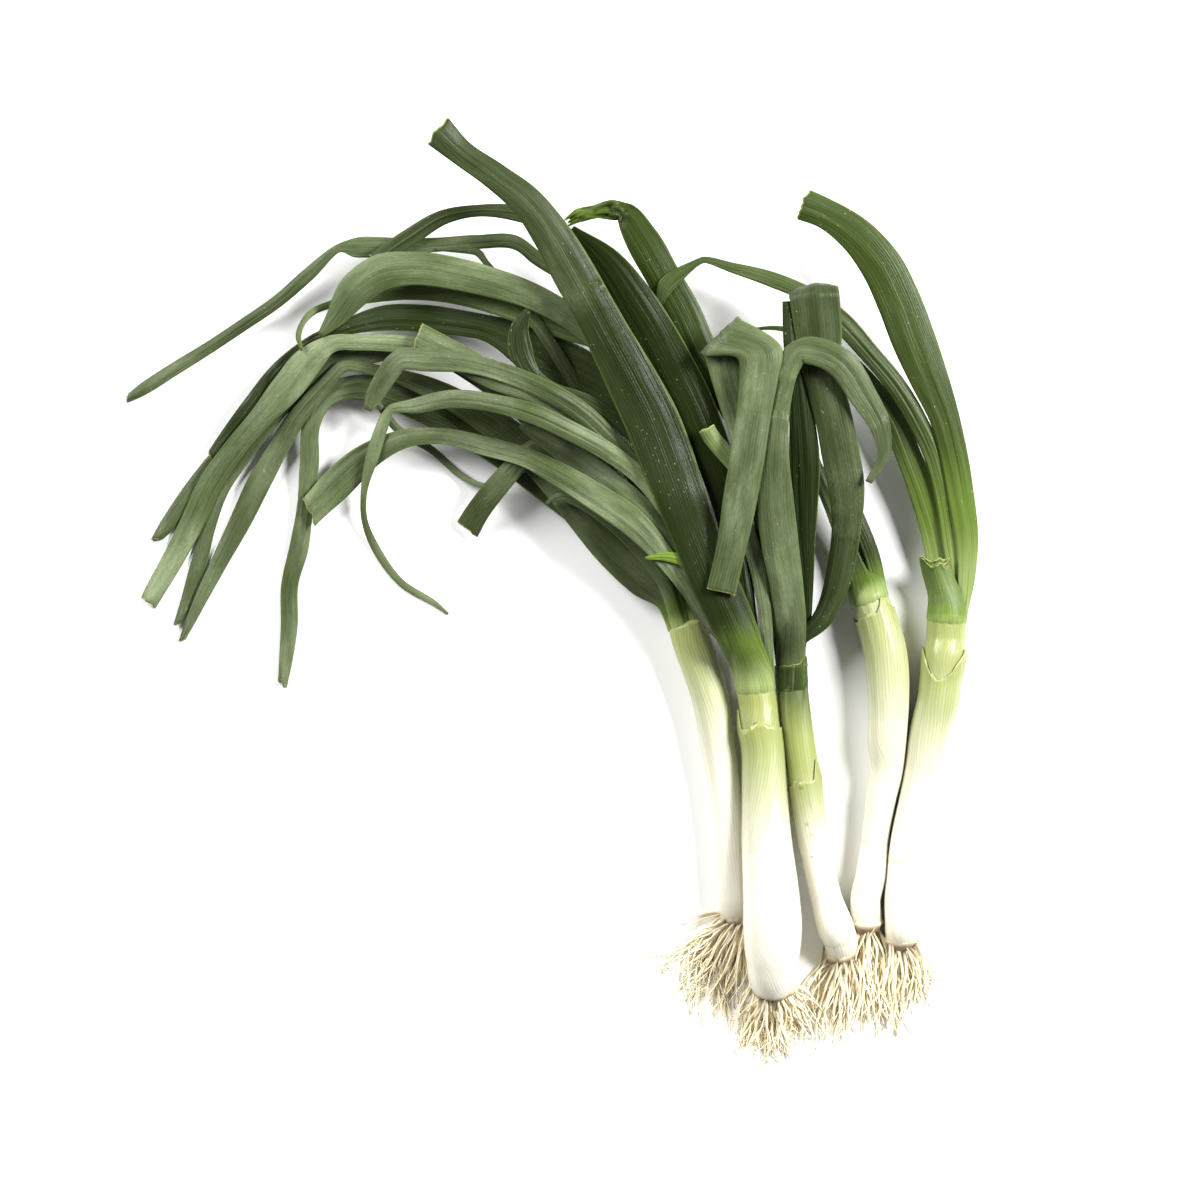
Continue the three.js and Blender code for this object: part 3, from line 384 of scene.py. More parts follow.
def tube_faces(rings, around, first=0):
    """Faces between neighbouring rings of points, wound to face out."""
    faces = []
    for r in range(rings - 1):
        for s in range(around):
            a = first + r * around + s
            b = first + r * around + (s + 1) % around
            faces.append((a, b, b + around, a + around))
    return faces


def end_faces(count, around, first=0):
    """The two flat ends of a tube of `count` points."""
    return [
        tuple(reversed(range(first, first + around))),
        tuple(range(first + count - around, first + count)),
    ]


# ---- Materials ----
class Shader:
    """Short calls that add linked nodes to a new material. The body colour and the
    relief grow by one layer at a time."""

    def __init__(self, name, body):
        self.body, self.relief = body, None
        self.material = bpy.data.materials.new(name)
        self.material.use_nodes = True
        self.tree = self.material.node_tree
        self.shader = self.tree.nodes["Principled BSDF"]

    def put(self, socket, value):
        """Links a socket, or gives it a number or a colour of red, green and blue."""
        if isinstance(value, bpy.types.NodeSocket):
            self.tree.links.new(value, socket)
        else:
            socket.default_value = (*value, 1.0) if socket.type == "RGBA" else value

    def attribute(self, name):
        node = self.tree.nodes.new("ShaderNodeAttribute")
        node.attribute_name = name
        parts = self.tree.nodes.new("ShaderNodeSeparateXYZ")
        self.tree.links.new(node.outputs["Vector"], parts.inputs[0])
        return parts.outputs

    def math(self, kind, a, b=0.0, clamp=False):
        node = self.tree.nodes.new("ShaderNodeMath")
        node.operation = kind
        node.use_clamp = clamp
        self.put(node.inputs[0], a)
        self.put(node.inputs[1], b)
        return node.outputs[0]

    def times(self, a, b):
        return self.math("MULTIPLY", a, b)

    def vector(self, x, y, z):
        node = self.tree.nodes.new("ShaderNodeCombineXYZ")
        for socket, value in zip(node.inputs, (x, y, z)):
            self.put(socket, value)
        return node.outputs[0]

    def texture(self, kind, x, y, z, scale):
        """A texture node. scale: how many of its cells lie in a unit of x and of y."""
        node = self.tree.nodes.new(kind)
        place = self.vector(self.times(x, scale[0]), self.times(y, scale[1]), z)
        self.put(node.inputs["Vector"], place)
        node.inputs["Scale"].default_value = 1.0
        return node

    def noise(self, x, y, z, scale, detail=2.0, roughness=0.5):
        node = self.texture("ShaderNodeTexNoise", x, y, z, scale)
        node.inputs["Detail"].default_value = detail
        node.inputs["Roughness"].default_value = roughness
        return node.outputs["Fac"]

    def dots(self, x, y, z, scale):
        node = self.texture("ShaderNodeTexVoronoi", x, y, z, scale)
        return node.outputs["Distance"]

    def remap(self, value, low, high, to_low=0.0, to_high=1.0):
        node = self.tree.nodes.new("ShaderNodeMapRange")
        node.interpolation_type = "SMOOTHSTEP"
        self.put(node.inputs["Value"], value)
        for socket, number in zip(node.inputs[1:5], (low, high, to_low, to_high)):
            socket.default_value = number
        return node.outputs[0]

    def lines(self, across, apart, drift):
        """Thin even lines along a leaf: 1 in the middle of each."""
        even = self.times(across, 2 * math.pi / apart)
        turn = self.math("ADD", even, self.times(drift, 9.0))
        return self.remap(self.math("SINE", turn), 0.1, 0.9)

    def tint(self, amount, over):
        """Lays a colour over the body, by an amount from 0 to 1."""
        node = self.tree.nodes.new("ShaderNodeMix")
        node.data_type = "RGBA"
        self.put(node.inputs["Factor"], amount)
        self.put(node.inputs[6], self.body)
        self.put(node.inputs[7], over)
        self.body = node.outputs[2]

    def bump(self, height, most, strength):
        """Adds relief of at most so many mm."""
        node = self.tree.nodes.new("ShaderNodeBump")
        node.inputs["Strength"].default_value = strength
        node.inputs["Distance"].default_value = most * MM
        self.put(node.inputs["Height"], height)
        if self.relief is not None:
            self.put(node.inputs["Normal"], self.relief)
        self.relief = node.outputs[0]

    def finish(self, roughness, **uniform):
        self.put(self.shader.inputs["Base Color"], self.body)
        self.put(self.shader.inputs["Roughness"], roughness)
        if self.relief is not None:
            self.put(self.shader.inputs["Normal"], self.relief)
        for label, value in uniform.items():
            self.shader.inputs[label.replace("_", " ")].default_value = value
        return self.material


# Each piece has a number from 0 to 1 and sees its own slice of every pattern: this many
# units lie between the slices of 0 and 1.
LEAF_SLICE = 37.0
CLOUD_SLICE = 71.0
NICK_SLICE = 11.0
SHANK_SLICE = 23.0
ROOT_SLICE = 91.0

# Colours of small marks, some of them partly or wholly painted light, in the order in which the
# materials use them.
SPECK = (0.42, 0.46, 0.30)  # a dot of thicker wax
NICK = (0.52, 0.58, 0.30)
# lighter colour of a crease: partly a scuff, partly a painted highlight
CREASE_SCUFF_AND_HIGHLIGHT = (0.30, 0.34, 0.22)
CUT_FLESH = (0.36, 0.38, 0.11)
SHANK_VEIN = (0.52, 0.52, 0.34)
# a painted sheen on the bulb
SHANK_SHEEN = (0.80, 0.79, 0.74)
SOIL = (0.30, 0.22, 0.12)
DRY_SKIN = (0.50, 0.40, 0.22)
TORN_EDGE = (0.36, 0.38, 0.15)
BROWNED = (0.56, 0.40, 0.22)
NEW_ROOT = (0.98, 0.92, 0.74)


def leaf_material(settings):
    """Veined green under patchy wax. place: mm across, mm along, nearness of a cut.
    fade: towards the neck, towards the margin, creasing. kind: how waxy, number of the
    leaf, how yellow."""
    n = Shader("onion_leaf", settings.deep)
    across, along, cut = n.attribute("place")
    neck, margin, crease = n.attribute("fade")
    wax_share, own, young = n.attribute("kind")
    seed = n.times(own, LEAF_SLICE)
    streaks = n.noise(across, along, seed, (1.9, 0.012), 3.0, 0.6)
    bands = n.noise(across, along, seed, (0.32, 0.006), 3.0, 0.6)
    blotches = n.noise(across, along, seed, (0.14, 0.035), 3.0, 0.6)
    clouds = n.noise(across, along, n.times(own, CLOUD_SLICE), (0.05, 0.016), 2.0)
    grain = n.noise(across, along, seed, (3.0, 0.5), 3.0, 0.7)
    # Green, lighter along the veins and ribs.
    green = n.math("ADD", n.times(wax_share, 0.9), 0.15)
    n.tint(n.times(n.remap(streaks, 0.32, 0.68), green), settings.lit)
    n.tint(n.remap(bands, 0.40, 0.65, 0.0, 0.6), settings.deep)
    ribs = n.lines(across, 1.25, bands)
    n.tint(n.times(ribs, n.times(green, 0.5)), settings.lit)
    # Patches of wax, rubbed off near the neck.
    wax = n.times(n.remap(blotches, 0.34, 0.68, 0.45, 1.0), n.remap(grain, 0.2, 0.8, 0.55, 1.0))
    wax = n.times(wax, n.times(wax_share, n.remap(clouds, 0.36, 0.62, 0.55, 1.3)))
    wax = n.times(wax, n.remap(neck, 0.3, 1.0, 1.0, 0.3))
    n.tint(wax, settings.bloom)
    n.tint(n.times(ribs, n.times(wax_share, 0.16)), settings.young)
    # Yellower margins and base, and young leaves all over.
    rim = n.times(n.remap(margin, 0.88, 1.0, 0.0, 0.75), n.remap(bands, 0.35, 0.60))
    n.tint(rim, settings.young)
    uneven = n.times(n.math("SUBTRACT", streaks, 0.5), 0.5)
    pale = n.math("ADD", neck, n.times(uneven, n.remap(neck, 0.02, 0.3)), True)
    n.tint(n.remap(pale, 0.05, 0.62, 0.0, 0.92), settings.young)
    n.tint(n.remap(pale, 0.62, 1.0), settings.base)
    veined = n.times(n.remap(streaks, 0.44, 0.62), n.remap(pale, 0.4, 1.0, 0.0, 0.55))
    n.tint(veined, settings.young)
    n.tint(n.times(young, n.remap(streaks, 0.2, 0.8, 0.5, 1.0)), settings.fresh)
    # Small marks, creases lightened partly by a scuff and partly by a painted highlight, and the
    # cut end.
    specks = n.remap(n.dots(across, along, seed, (0.5, 0.28)), 0.13, 0.04)
    specks = n.times(specks, n.remap(blotches, 0.50, 0.60))
    n.tint(n.times(specks, 0.5), SPECK)
    nicks = n.remap(n.dots(across, along, n.times(own, NICK_SLICE), (0.9, 0.16)), 0.09, 0.03)
    nicks = n.times(nicks, n.remap(bands, 0.52, 0.62))
    n.tint(n.times(nicks, 0.6), NICK)
    # Creases turn lighter: partly a real scuff, partly a painted highlight on the bend.
    scuffs_and_highlights = n.times(crease, n.remap(grain, 0.38, 0.66))
    n.tint(n.times(scuffs_and_highlights, 0.07), CREASE_SCUFF_AND_HIGHLIGHT)
    n.tint(n.remap(cut, 0.5, 1.0, 0.0, 0.75), CUT_FLESH)
    veins = n.noise(across, along, seed, (2.4, 0.02), 1.0)
    n.bump(veins, 0.35, 0.5)
    n.bump(ribs, 0.1, 0.35)
    n.bump(grain, 0.18, 0.4)
    n.bump(blotches, 0.6, 0.35)
    rough = n.math("SUBTRACT", n.remap(wax, 0.0, 0.8, 0.30, 0.44), n.times(crease, 0.1))
    return n.finish(rough, Specular_IOR_Level=0.11)


def shank_material(settings):
    """Glossy white bulb turning to a striped pale green neck. place: mm round, mm along,
    nearness of an edge. fade: towards the neck, dryness. kind: number of the piece."""
    n = Shader("onion_shank", settings.white)
    around, along, edge = n.attribute("place")
    green, dry, _ = n.attribute("fade")
    _, own, _ = n.attribute("kind")
    seed = n.times(own, SHANK_SLICE)
    stripes = n.noise(around, along, seed, (0.9, 0.006), 3.0, 0.6)
    soft = n.noise(around, along, seed, (0.16, 0.03), 3.0)
    n.tint(n.remap(green, 0.0, 0.8), settings.green)
    amount = n.times(n.remap(stripes, 0.44, 0.60), n.remap(green, 0.15, 1.0, 0.0, 0.8))
    n.tint(n.times(amount, 0.6), settings.stripe)
    ribs = n.lines(around, 1.35, n.times(stripes, 0.5))
    n.tint(n.times(ribs, n.remap(green, 0.0, 1.0, 0.03, 0.55)), settings.stripe)
    n.tint(n.remap(green, 0.9, 1.45), settings.leaf)
    n.tint(n.remap(stripes, 0.50, 0.66, 0.0, 0.14), SHANK_VEIN)
    # Soft pale patches over the bulb: a painted sheen.
    painted_sheen = n.times(n.remap(soft, 0.45, 0.75), n.remap(green, 0.2, 0.8, 0.2, 0.05))
    n.tint(painted_sheen, SHANK_SHEEN)
    soil = n.remap(n.dots(around, along, seed, (0.30, 0.30)), 0.09, 0.03)
    marks = n.times(soil, n.remap(soft, 0.55, 0.62))
    n.tint(n.times(marks, 0.6), SOIL)
    n.tint(n.times(dry, n.remap(stripes, 0.35, 0.65, 0.3, 0.9)), DRY_SKIN)
    n.tint(n.times(edge, 0.45), TORN_EDGE)
    n.bump(stripes, 0.4, 0.3)
    n.bump(ribs, 0.1, 0.5)
    n.bump(soft, 1.0, 0.2)
    rough = n.remap(soft, 0.3, 0.8, 0.22, 0.36)
    return n.finish(rough, Specular_IOR_Level=0.3, Coat_Weight=0.1, Coat_Roughness=0.2)


def root_material(settings):
    """Cream roots with browner stretches. place: along and round the root. fade:
    brownness. kind: number of the root."""
    n = Shader("onion_root", settings.cream)
    along, around, _ = n.attribute("place")
    brown, _, _ = n.attribute("fade")
    _, own, _ = n.attribute("kind")
    mottle = n.noise(along, around, n.times(own, ROOT_SLICE), (0.22, 0.8), 3.0, 0.6)
    n.tint(n.remap(mottle, 0.50, 0.78, 0.0, 0.18), BROWNED)
    n.tint(n.remap(own, 0.2, 1.0, 0.0, 0.75), NEW_ROOT)
    n.tint(brown, settings.plate)
    n.bump(mottle, 0.4, 0.5)
    return n.finish(n.remap(mottle, 0.3, 0.7, 0.5, 0.7))


# ---- Leaves ----
LANES = 17  # points across one face of a blade
U = np.linspace(1.0, -1.0, LANES)  # from the left margin to the right one
INSET = 7 * MM  # how far every leaf reaches down inside its neck
OPENING = 26 * MM  # over which a leaf leaves the round form of its neck
NECK_REACH = 1.03  # radius of the outermost leaf there, in radii of the shank
SUNK = 0.78  # and of every leaf further down inside it
RISE = 3.5 * MM  # over which it comes out
STACKED = 0.3  # how much of its height over the neck a leaf keeps there
PALE_BASE = 2 * MM  # how far inside the neck a leaf starts to turn green
LEAST_HALF = 0.35 * MM  # half of the narrowest blade
FULL_RELIEF = 5 * MM  # half of a blade that has its full relief
KEEL_HEIGHT = 0.35 * MM
KEEL_WIDTH = 0.06  # in half widths of the blade
TILT = 0.7 * MM  # slow waves that lift one margin and lower the other
BOW = 0.35 * MM  # shorter waves that lift or lower both
KINK_WIDTH = 2.2 * MM
KINK_SLANT = 1.5 * MM
POINT_LENGTH = 18 * MM  # over which a pointed tip gets thin
CUT_REACH = 14 * MM  # over which a cut leaf opens towards its end
CUT_EDGE = 1.5 * MM  # at the end of that, in the colour of the cut
MOUTH_DEPTH = 5 * MM
MOUTH_OPENING = 1.0 * MM
MOUTH_SLIT = 0.06 * MM
FAR_CHANGE = 0.05  # share of the length over which a tone changes


def neck_of(shank):
    """Where a shank ends, the way it points, and its radius there."""
    ahead = unit(shank[-1, :3] - shank[-3, :3])
    return shank[-1, :3], ahead, shank[-1, 3]


def led_from_neck(rows, neck):
    """A leaf's rows, with two more inside the neck before them."""
    _, ahead, _ = neck
    added = []
    for share in (1.0, 0.5):
        row = rows[0].copy()
        row[:3] -= ahead * INSET * share
        row[3:6] *= 1 - 0.15 * share
        added.append(row)
    return np.vstack([added, rows])


def curled_on(rows, radius, turn):
    """A leaf's rows, followed by more that curl up and back from its end."""
    last = rows[-1]
    across, up = last[3:6], last[6:9]
    heading = unit(np.cross(across, up))
    added = []
    for angle in np.linspace(0, turn, 2 + int(abs(turn) * 3))[1:]:
        row = last.copy()
        side = math.copysign(radius, turn)
        row[:3] += heading * side * math.sin(angle) + up * side * (1 - math.cos(angle))
        row[6:9] = up * math.cos(angle) - heading * math.sin(angle)
        added.append(row)
    return np.vstack([rows, added])


def held_by_neck(points, s, neck, wrap):
    """Points of one section drawn into the round form of the neck that they leave."""
    end, ahead, radius = neck
    hold = 1 - smoothstep(s / OPENING)
    if hold <= 0:
        return points
    left = unit(np.array((-ahead[1], ahead[0], 0.0)))
    axis = end + ahead * s
    sunk = SUNK + (NECK_REACH - SUNK) * smoothstep((s + RISE) / RISE)
    reach = radius * sunk
    aside = (points - axis) @ left
    height = points[:, 2] - axis[2]
    kept = 1 - hold * (1 - STACKED)
    height = np.where(height > reach, reach + (height - reach) * kept, height)
    if wrap:
        round_it = np.sin(U * wrap * math.pi / 2) * reach
        aside = aside + (round_it - aside) * hold
        height = height + (reach - height) * hold
    else:
        aside = aside + (np.clip(aside, -reach, reach) - aside) * hold
        height = height * (1 - 0.25 * hold)
    drop = np.sqrt(np.clip(1 - (aside / (reach * 1.02)) ** 2, 0.03, 1.0))
    held = axis + np.outer(aside, left) + np.outer(height * drop, UP)
    return points + (held - points) * hold


def leaf_sections(node, neck, traits, step):
    """Even sections of a leaf, and how far beyond its neck each of them lies."""
    rows = led_from_neck(leaf_line(node, neck[0]), neck)
    if "curl" in traits:
        radius, turn = traits["curl"]
        rows = curled_on(rows, radius * MM, turn)
    fine, at = refined(rows, step)
    return fine, at - INSET


def blade_frame(fine, at, traits):
    """Half the way across each section, the directions up from it and along the leaf,
    and the length of that half way."""
    across, up = fine[:, 3:6], fine[:, 6:9]
    lean = (up * across).sum(axis=1) / (across**2).sum(axis=1)
    up = unit(up - across * lean[:, None])
    half = np.maximum(np.linalg.norm(across, axis=1), LEAST_HALF)
    if "broad" in traits:
        factor, reach = traits["broad"]
        half = half * (1 + (factor - 1) * (1 - smoothstep(at / (reach * MM))))
    across = unit(across) * half[:, None]
    return across, up, unit(np.cross(across, up)), half


class Relief:
    """The pleats, keel, waves and creases of one leaf."""

    def __init__(self, draw, phase, pleat, kinks, total):
        self.phase, self.pleat, self.kinks, self.total = phase, pleat, kinks, total
        self.pleats = [(k, draw.uniform(0, 6), draw.uniform(0.5, 1.0)) for k in (2, 3, 5)]
        self.keel = draw.uniform(-0.35, 0.35)

    def at(self, s, rise, size):
        """Height of each lane over the margins and how creased it is, at a distance
        along a leaf whose midrib rises so far. size: share of the full relief."""
        lift = rise * (1 - np.abs(U) ** 1.7)
        for k, shift, weight in self.pleats:
            drift = 1.6 * wander(s * 14, shift, self.phase)
            lift = lift + weight * self.pleat * size * np.cos(
                k * math.pi * (U + 0.3 * drift) + shift)
        lift = lift + KEEL_HEIGHT * size * np.exp(-(((U - self.keel) / KEEL_WIDTH) ** 2))
        lift = lift + TILT * size * wander(s * 28, self.phase, 3.0) * U
        lift = lift + BOW * size * wander(s * 60, self.phase, 5.0) * U * U
        crease = 0.0
        for where, depth in self.kinks:
            slant = KINK_SLANT * wander(where * 9, self.phase, 2.0) * U
            off = (s - where * self.total + slant) / KINK_WIDTH
            lift = lift + depth * MM * np.exp(-off * off) * (0.4 + 0.6 * np.abs(U))
            crease = np.maximum(crease, np.exp(-off * off / 6))
        return lift, crease


def crumpled(share, s, phase, start, depth):
    """Height of each lane in a crumpled end, and how much broader the blade is there."""
    grown = smoothstep((share - start) / (1 - start) * 3)
    folds = np.array([wander(u * 2.2, s * 260, phase) for u in U])
    return depth * MM * grown * folds, 1 + 0.45 * grown * wander(s * 150, phase, 8.0)


def filled(points, share, across, spec):
    """Points of one section with the left margin standing out."""
    much, start, full, still, end = spec
    grown = smoothstep((share - start) / (full - start))
    grown = grown * smoothstep((end - share) / (end - still))
    return points + np.outer((1 + U) / 2 * much * MM * grown, unit(across))


def cut_back(points, heading, traits, phase, amount):
    """Points of one section pushed along the leaf to an uneven slanting cut."""
    jag = np.array([wander(u * 1.7, phase, 9.0) + 0.4 * wander(u * 6.0, phase, 4.0) for u in U])
    ragged = traits.get("ragged", RAGGED) * 2.2 * jag
    push = (traits["slant"] * U * 0.5 + ragged) * MM * amount
    return points + np.outer(push, heading)


def mouth_rings(lower, upper, up, at, wall):
    """Rings where the skin of a cut end turns in and leads down to a narrow slit, each
    after the number of the section that it lies in."""
    for depth in (0.0, MOUTH_DEPTH * 0.5, MOUTH_DEPTH):
        i = min(int(np.searchsorted(at, at[-1] - depth)), len(at) - 1)
        core = (upper[i] + lower[i]) / 2
        gap = np.maximum((upper[i] - core) @ up[i] - wall, MOUTH_SLIT)
        inner = np.outer(gap, up[i])
        yield i, np.vstack([core - inner, (core + inner)[::-1]])


def leaf_kind(traits, own, along):
    """How waxy a leaf is, its own number and how yellow it is, at shares of its length
    and at distances (mm) from its end."""
    share, to_end = along
    tone, young = traits.get("tone", TONE), traits.get("young", 0.0)
    kind = np.ones((len(share), 3)) * (tone, own, young)
    if "far" in traits:
        start, far_tone = traits["far"]
        kind[:, 0] += (far_tone - tone) * smoothstep((share - start) / FAR_CHANGE)
    if "tip" in traits:
        strength, reach = traits["tip"]
        patch = strength * smoothstep((reach - to_end) / reach)
        kind[:, 2] = np.maximum(young, patch)
    return kind


def build_leaf(node, index, shank, settings, material):
    """One leaf: a fine blade through the sections of its node."""
    traits = LEAVES.get(node, {})
    draw = random.Random(index * 101 + 7)
    phase, own = draw.uniform(0, 10), draw.random()
    fading = traits.get("fade", FADE[node.split("_")[1]])
    neck = neck_of(shank)
    fine, at = leaf_sections(node, neck, traits, settings.step)
    total = at[-1]
    is_cut = "slant" in traits
    across, up, heading, half = blade_frame(fine, at, traits)
    closing = smoothstep((total - at) / POINT_LENGTH)
    near_end = smoothstep((at - total + CUT_REACH) / CUT_REACH)
    relief = Relief(draw, phase, settings.pleat, traits.get("kinks", ()), total)
    lower, upper, place, fade = [], [], [], []
    for i, s in enumerate(at):
        share = s / total
        lift, crease = relief.at(s, fine[i, 9], min(1.0, half[i] / FULL_RELIEF))
        broader = 1.0
        if share > traits.get("crumple", (1.0, 0.0))[0]:
            folds, broader = crumpled(share, s, phase, *traits["crumple"])
            lift = lift + folds
        points = fine[i, :3] + np.outer(U * broader, across[i]) + np.outer(lift, up[i])
        if "fill" in traits:
            points = filled(points, share, across[i], traits["fill"])
        points = held_by_neck(points, s, neck, traits.get("wrap", 0.0))
        thick = settings.thickness * (1 - 0.35 * np.abs(U) ** 3)
        if is_cut:
            thick = thick + MOUTH_OPENING * near_end[i] * (1 - U * U)
            points = cut_back(points, heading[i], traits, phase, near_end[i])
        else:
            thick = thick * (0.4 + 0.6 * closing[i])
        points[:, 2] = np.maximum(points[:, 2], thick)
        lower.append(points - np.outer(thick, up[i]))
        upper.append(points + np.outer(thick, up[i]))
        cut = smoothstep((s - total + CUT_EDGE) / CUT_EDGE) if is_cut else 0.0
        place.append([(u * half[i] / MM, s / MM, cut) for u in U])
        to_neck = 1 - smoothstep((s + PALE_BASE) / (fading * MM))
        fade.append(np.stack([U * 0 + to_neck, np.abs(U), U * 0 + crease], axis=1))
    rings = [np.vstack([low, top[::-1]]) for low, top in zip(lower, upper)]
    place = [p + p[::-1] for p in place]
    fade = [np.vstack([f, f[::-1]]) for f in fade]
    if is_cut:
        for i, ring in mouth_rings(lower, upper, up, at, settings.thickness * 0.9):
            rings.append(ring)
            place.append(place[i])
            fade.append(fade[i])
    points, place = np.vstack(rings), np.vstack(place)
    around = 2 * LANES
    faces = tube_faces(len(rings), around) + end_faces(len(points), around)
    along = (place[:, 1] * MM / total, total / MM - place[:, 1])
    values = {"place": place, "fade": np.vstack(fade), "kind": leaf_kind(traits, own, along)}
    piece = add_piece(node + "_blade", points, faces, values, material)
    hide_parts(node)


class OBJECT_OT_onion_leaves(bpy.types.Operator):
    """Builds every leaf of the bunch"""

    bl_idname = "object.onion_leaves"
    bl_label = "Leaves"

    def execute(self, context):
        settings = context.scene.onion_leaf
        material = leaf_material(settings)
        shanks = {onion: shank_line(onion) for onion in ONIONS}
        for index, node in enumerate(LEAF_NODES):
            build_leaf(node, index, shanks[node.split("_")[1]], settings, material)
        return {"FINISHED"}


# ---- Shanks and sheaths ----
SHANK_LANES = 56
ANGLES = -np.linspace(0, 2 * math.pi, SHANK_LANES, endpoint=False)
SHANK_STEP = 0.75 * MM
RIBS = 13
RIB_HEIGHT = 0.09 * MM
BLUNT_REACH = 4 * MM  # over which a blunt foot wears off
DRY_REACH = 2.5 * MM  # and over which the foot is dry
SKIN_EDGE = 0.6  # half the width (mm) of the line that an old skin leaves
SHEATH_STEP = 1.2 * MM
SHEATH_ROWS = 40
SHEATH_SKIN = 0.35 * MM  # how far a sheath stands off
SHEATH_FLARE = 0.5 * MM  # and how much further at its edge
SHEATH_WALL = 0.25 * MM
DOME = ((1.0, 0.82), (2.0, 0.5), (2.5, 0.1))  # the shank's end: [mm on, share of its radius]


def shank_frame(onion, step):
    """Sections of a shank at even steps, with the directions across each."""
    fine, at = refined(shank_line(onion), step)
    fine[:, 3] *= 1 + SHANKS[onion]["blunt"] * np.exp(-at / BLUNT_REACH)
    ahead = unit(np.gradient(fine[:, :3], axis=0))
    side = unit(np.cross(ahead, UP))
    return fine, at, side, np.cross(side, ahead)


def greenness(onion, share):
    """How green a shank is at a share of its length."""
    spec = SHANKS[onion]
    return spec["green"] * np.clip((share - spec["white"]) / (1 - spec["white"]), 0, 1) ** 1.2


def waves(fineness, place):
    """A smooth random number at each lane round a shank."""
    return np.array([wander(math.cos(a) * fineness, math.sin(a) * fineness, p)
                     for a, p in zip(ANGLES, ANGLES * 0 + place)])


def shank_radius(radius, share, index):
    """Radius at each lane: a little out of round, flatter below, ribbed near the neck."""
    rib = RIB_HEIGHT * smoothstep((share - 0.3) / 0.5) * np.cos(RIBS * ANGLES + index)
    flat = 1 - 0.04 * np.minimum(np.sin(ANGLES), 0.0) ** 2
    return (radius * (1 + 0.02 * waves(1.2, share * 4 + index * 3)) + rib) * flat


def shank_ring(row, side, over, share, index):
    """Points round one section of a shank."""
    radius = shank_radius(row[3], share, index)
    ring = row[:3] + np.outer(radius * np.cos(ANGLES), side)
    return ring + np.outer(radius * np.sin(ANGLES), over)


def build_shank(onion, index, material):
    """A shank: a smooth rod through its node's sections, closed by a dome."""
    fine, at, side, over = shank_frame(onion, SHANK_STEP)
    rings, place, fade = [], [], []
    sections = list(zip(fine, side, over, at))
    ahead = unit(fine[-1, :3] - fine[-2, :3])
    for on, share in DOME:
        row = fine[-1].copy()
        row[:3] += ahead * on * MM
        row[3] *= share
        sections.append((row, side[-1], over[-1], at[-1] + on * MM))
    for row, left, top, s in sections:
        share = s / at[-1]
        ring = shank_ring(row, left, top, share, index)
        ring[:, 2] = np.maximum(ring[:, 2], 0.0)
        rings.append(ring)
        torn = s / MM + 1.2 * waves(2, index)
        skin = sum(np.exp(-(((torn - end) / SKIN_EDGE) ** 2)) for end in SHANKS[onion]["skins"])
        place.append([(a * row[3] / MM, s / MM, k) for a, k in zip(ANGLES, skin + 0 * ANGLES)])
        foot = math.exp(-s / DRY_REACH)
        fade.append([(greenness(onion, share), foot, 0.0)] * SHANK_LANES)
    points = np.vstack(rings)
    faces = tube_faces(len(rings), SHANK_LANES) + end_faces(len(points), SHANK_LANES)
    values = {"place": np.vstack(place), "fade": np.vstack(fade),
              "kind": [(0.0, index / 7, 0.0)] * len(points)}
    node = f"onion_{onion}_shank"
    piece = add_piece(node + "_skin", points, faces, values, material)
    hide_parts(node)


def sheath_tops(spec, number, total):
    """How far along the shank a sheath reaches at each lane, with its flap."""
    flap_at, flap_height, flap_width = spec["flap"]
    off = np.angle(np.exp(1j * (ANGLES - flap_at)))
    ragged = waves(1.6, number * 5.0) + 0.3 * waves(7, number * 5.0)
    tops = spec["high"] * total + spec["ragged"] * MM * ragged
    return tops + flap_height * MM * smoothstep(1 - np.abs(off) / flap_width)


def build_sheath(number, spec, material):
    """A thin outer sheath with a ragged upper edge and a pointed flap."""
    onion = spec["onion"]
    index = ONIONS.index(onion)
    fine, at, side, over = shank_frame(onion, SHEATH_STEP)
    tops = sheath_tops(spec, number, at[-1])
    start = spec["low"] * at[-1]
    onward = unit(fine[-1, :3] - fine[-2, :3])
    outer, inner, place, fade = [], [], [], []
    for r in range(SHEATH_ROWS + 1):
        share = r / SHEATH_ROWS
        s = start + (tops - start) * share
        i = np.clip(np.searchsorted(at, s), 0, len(at) - 1)
        centre = fine[i, :3] + np.outer(np.maximum(s - at[-1], 0.0), onward)
        # It lies on the shank below and stands off a little more towards its edge.
        stand = SHEATH_SKIN * (-0.8 + 2.0 * smoothstep(share * 1.6)) + SHEATH_FLARE * share**8
        radius = shank_radius(fine[i, 3], s / at[-1], index) + stand
        out = side[i] * np.cos(ANGLES)[:, None] + over[i] * np.sin(ANGLES)[:, None]
        for shell, reach in ((outer, radius), (inner, radius - SHEATH_WALL)):
            ring = centre + out * reach[:, None]
            ring[:, 2] = np.maximum(ring[:, 2], 0.0)
            shell.append(ring)
        edge = smoothstep((share - 0.975) / 0.025)
        place.append(np.stack([ANGLES * fine[i, 3] / MM, s / MM, ANGLES * 0 + edge], axis=1))
        green = greenness(onion, s / at[-1]) + 0.12 * share
        fade.append(np.stack([green, ANGLES * 0, ANGLES * 0], axis=1))
    points = np.vstack(outer + inner[::-1])
    faces = tube_faces(2 * (SHEATH_ROWS + 1), SHANK_LANES)
    last = (2 * SHEATH_ROWS + 1) * SHANK_LANES
    for k in range(SHANK_LANES):
        following = (k + 1) % SHANK_LANES
        faces.append((last + k, last + following, following, k))
    values = {"place": np.vstack(place + place[::-1]), "fade": np.vstack(fade + fade[::-1]),
              "kind": [(0.0, 0.1 + number / 9, 0.0)] * len(points)}
    add_piece(f"onion_{onion}_sheath_{number}", points, faces, values, material)


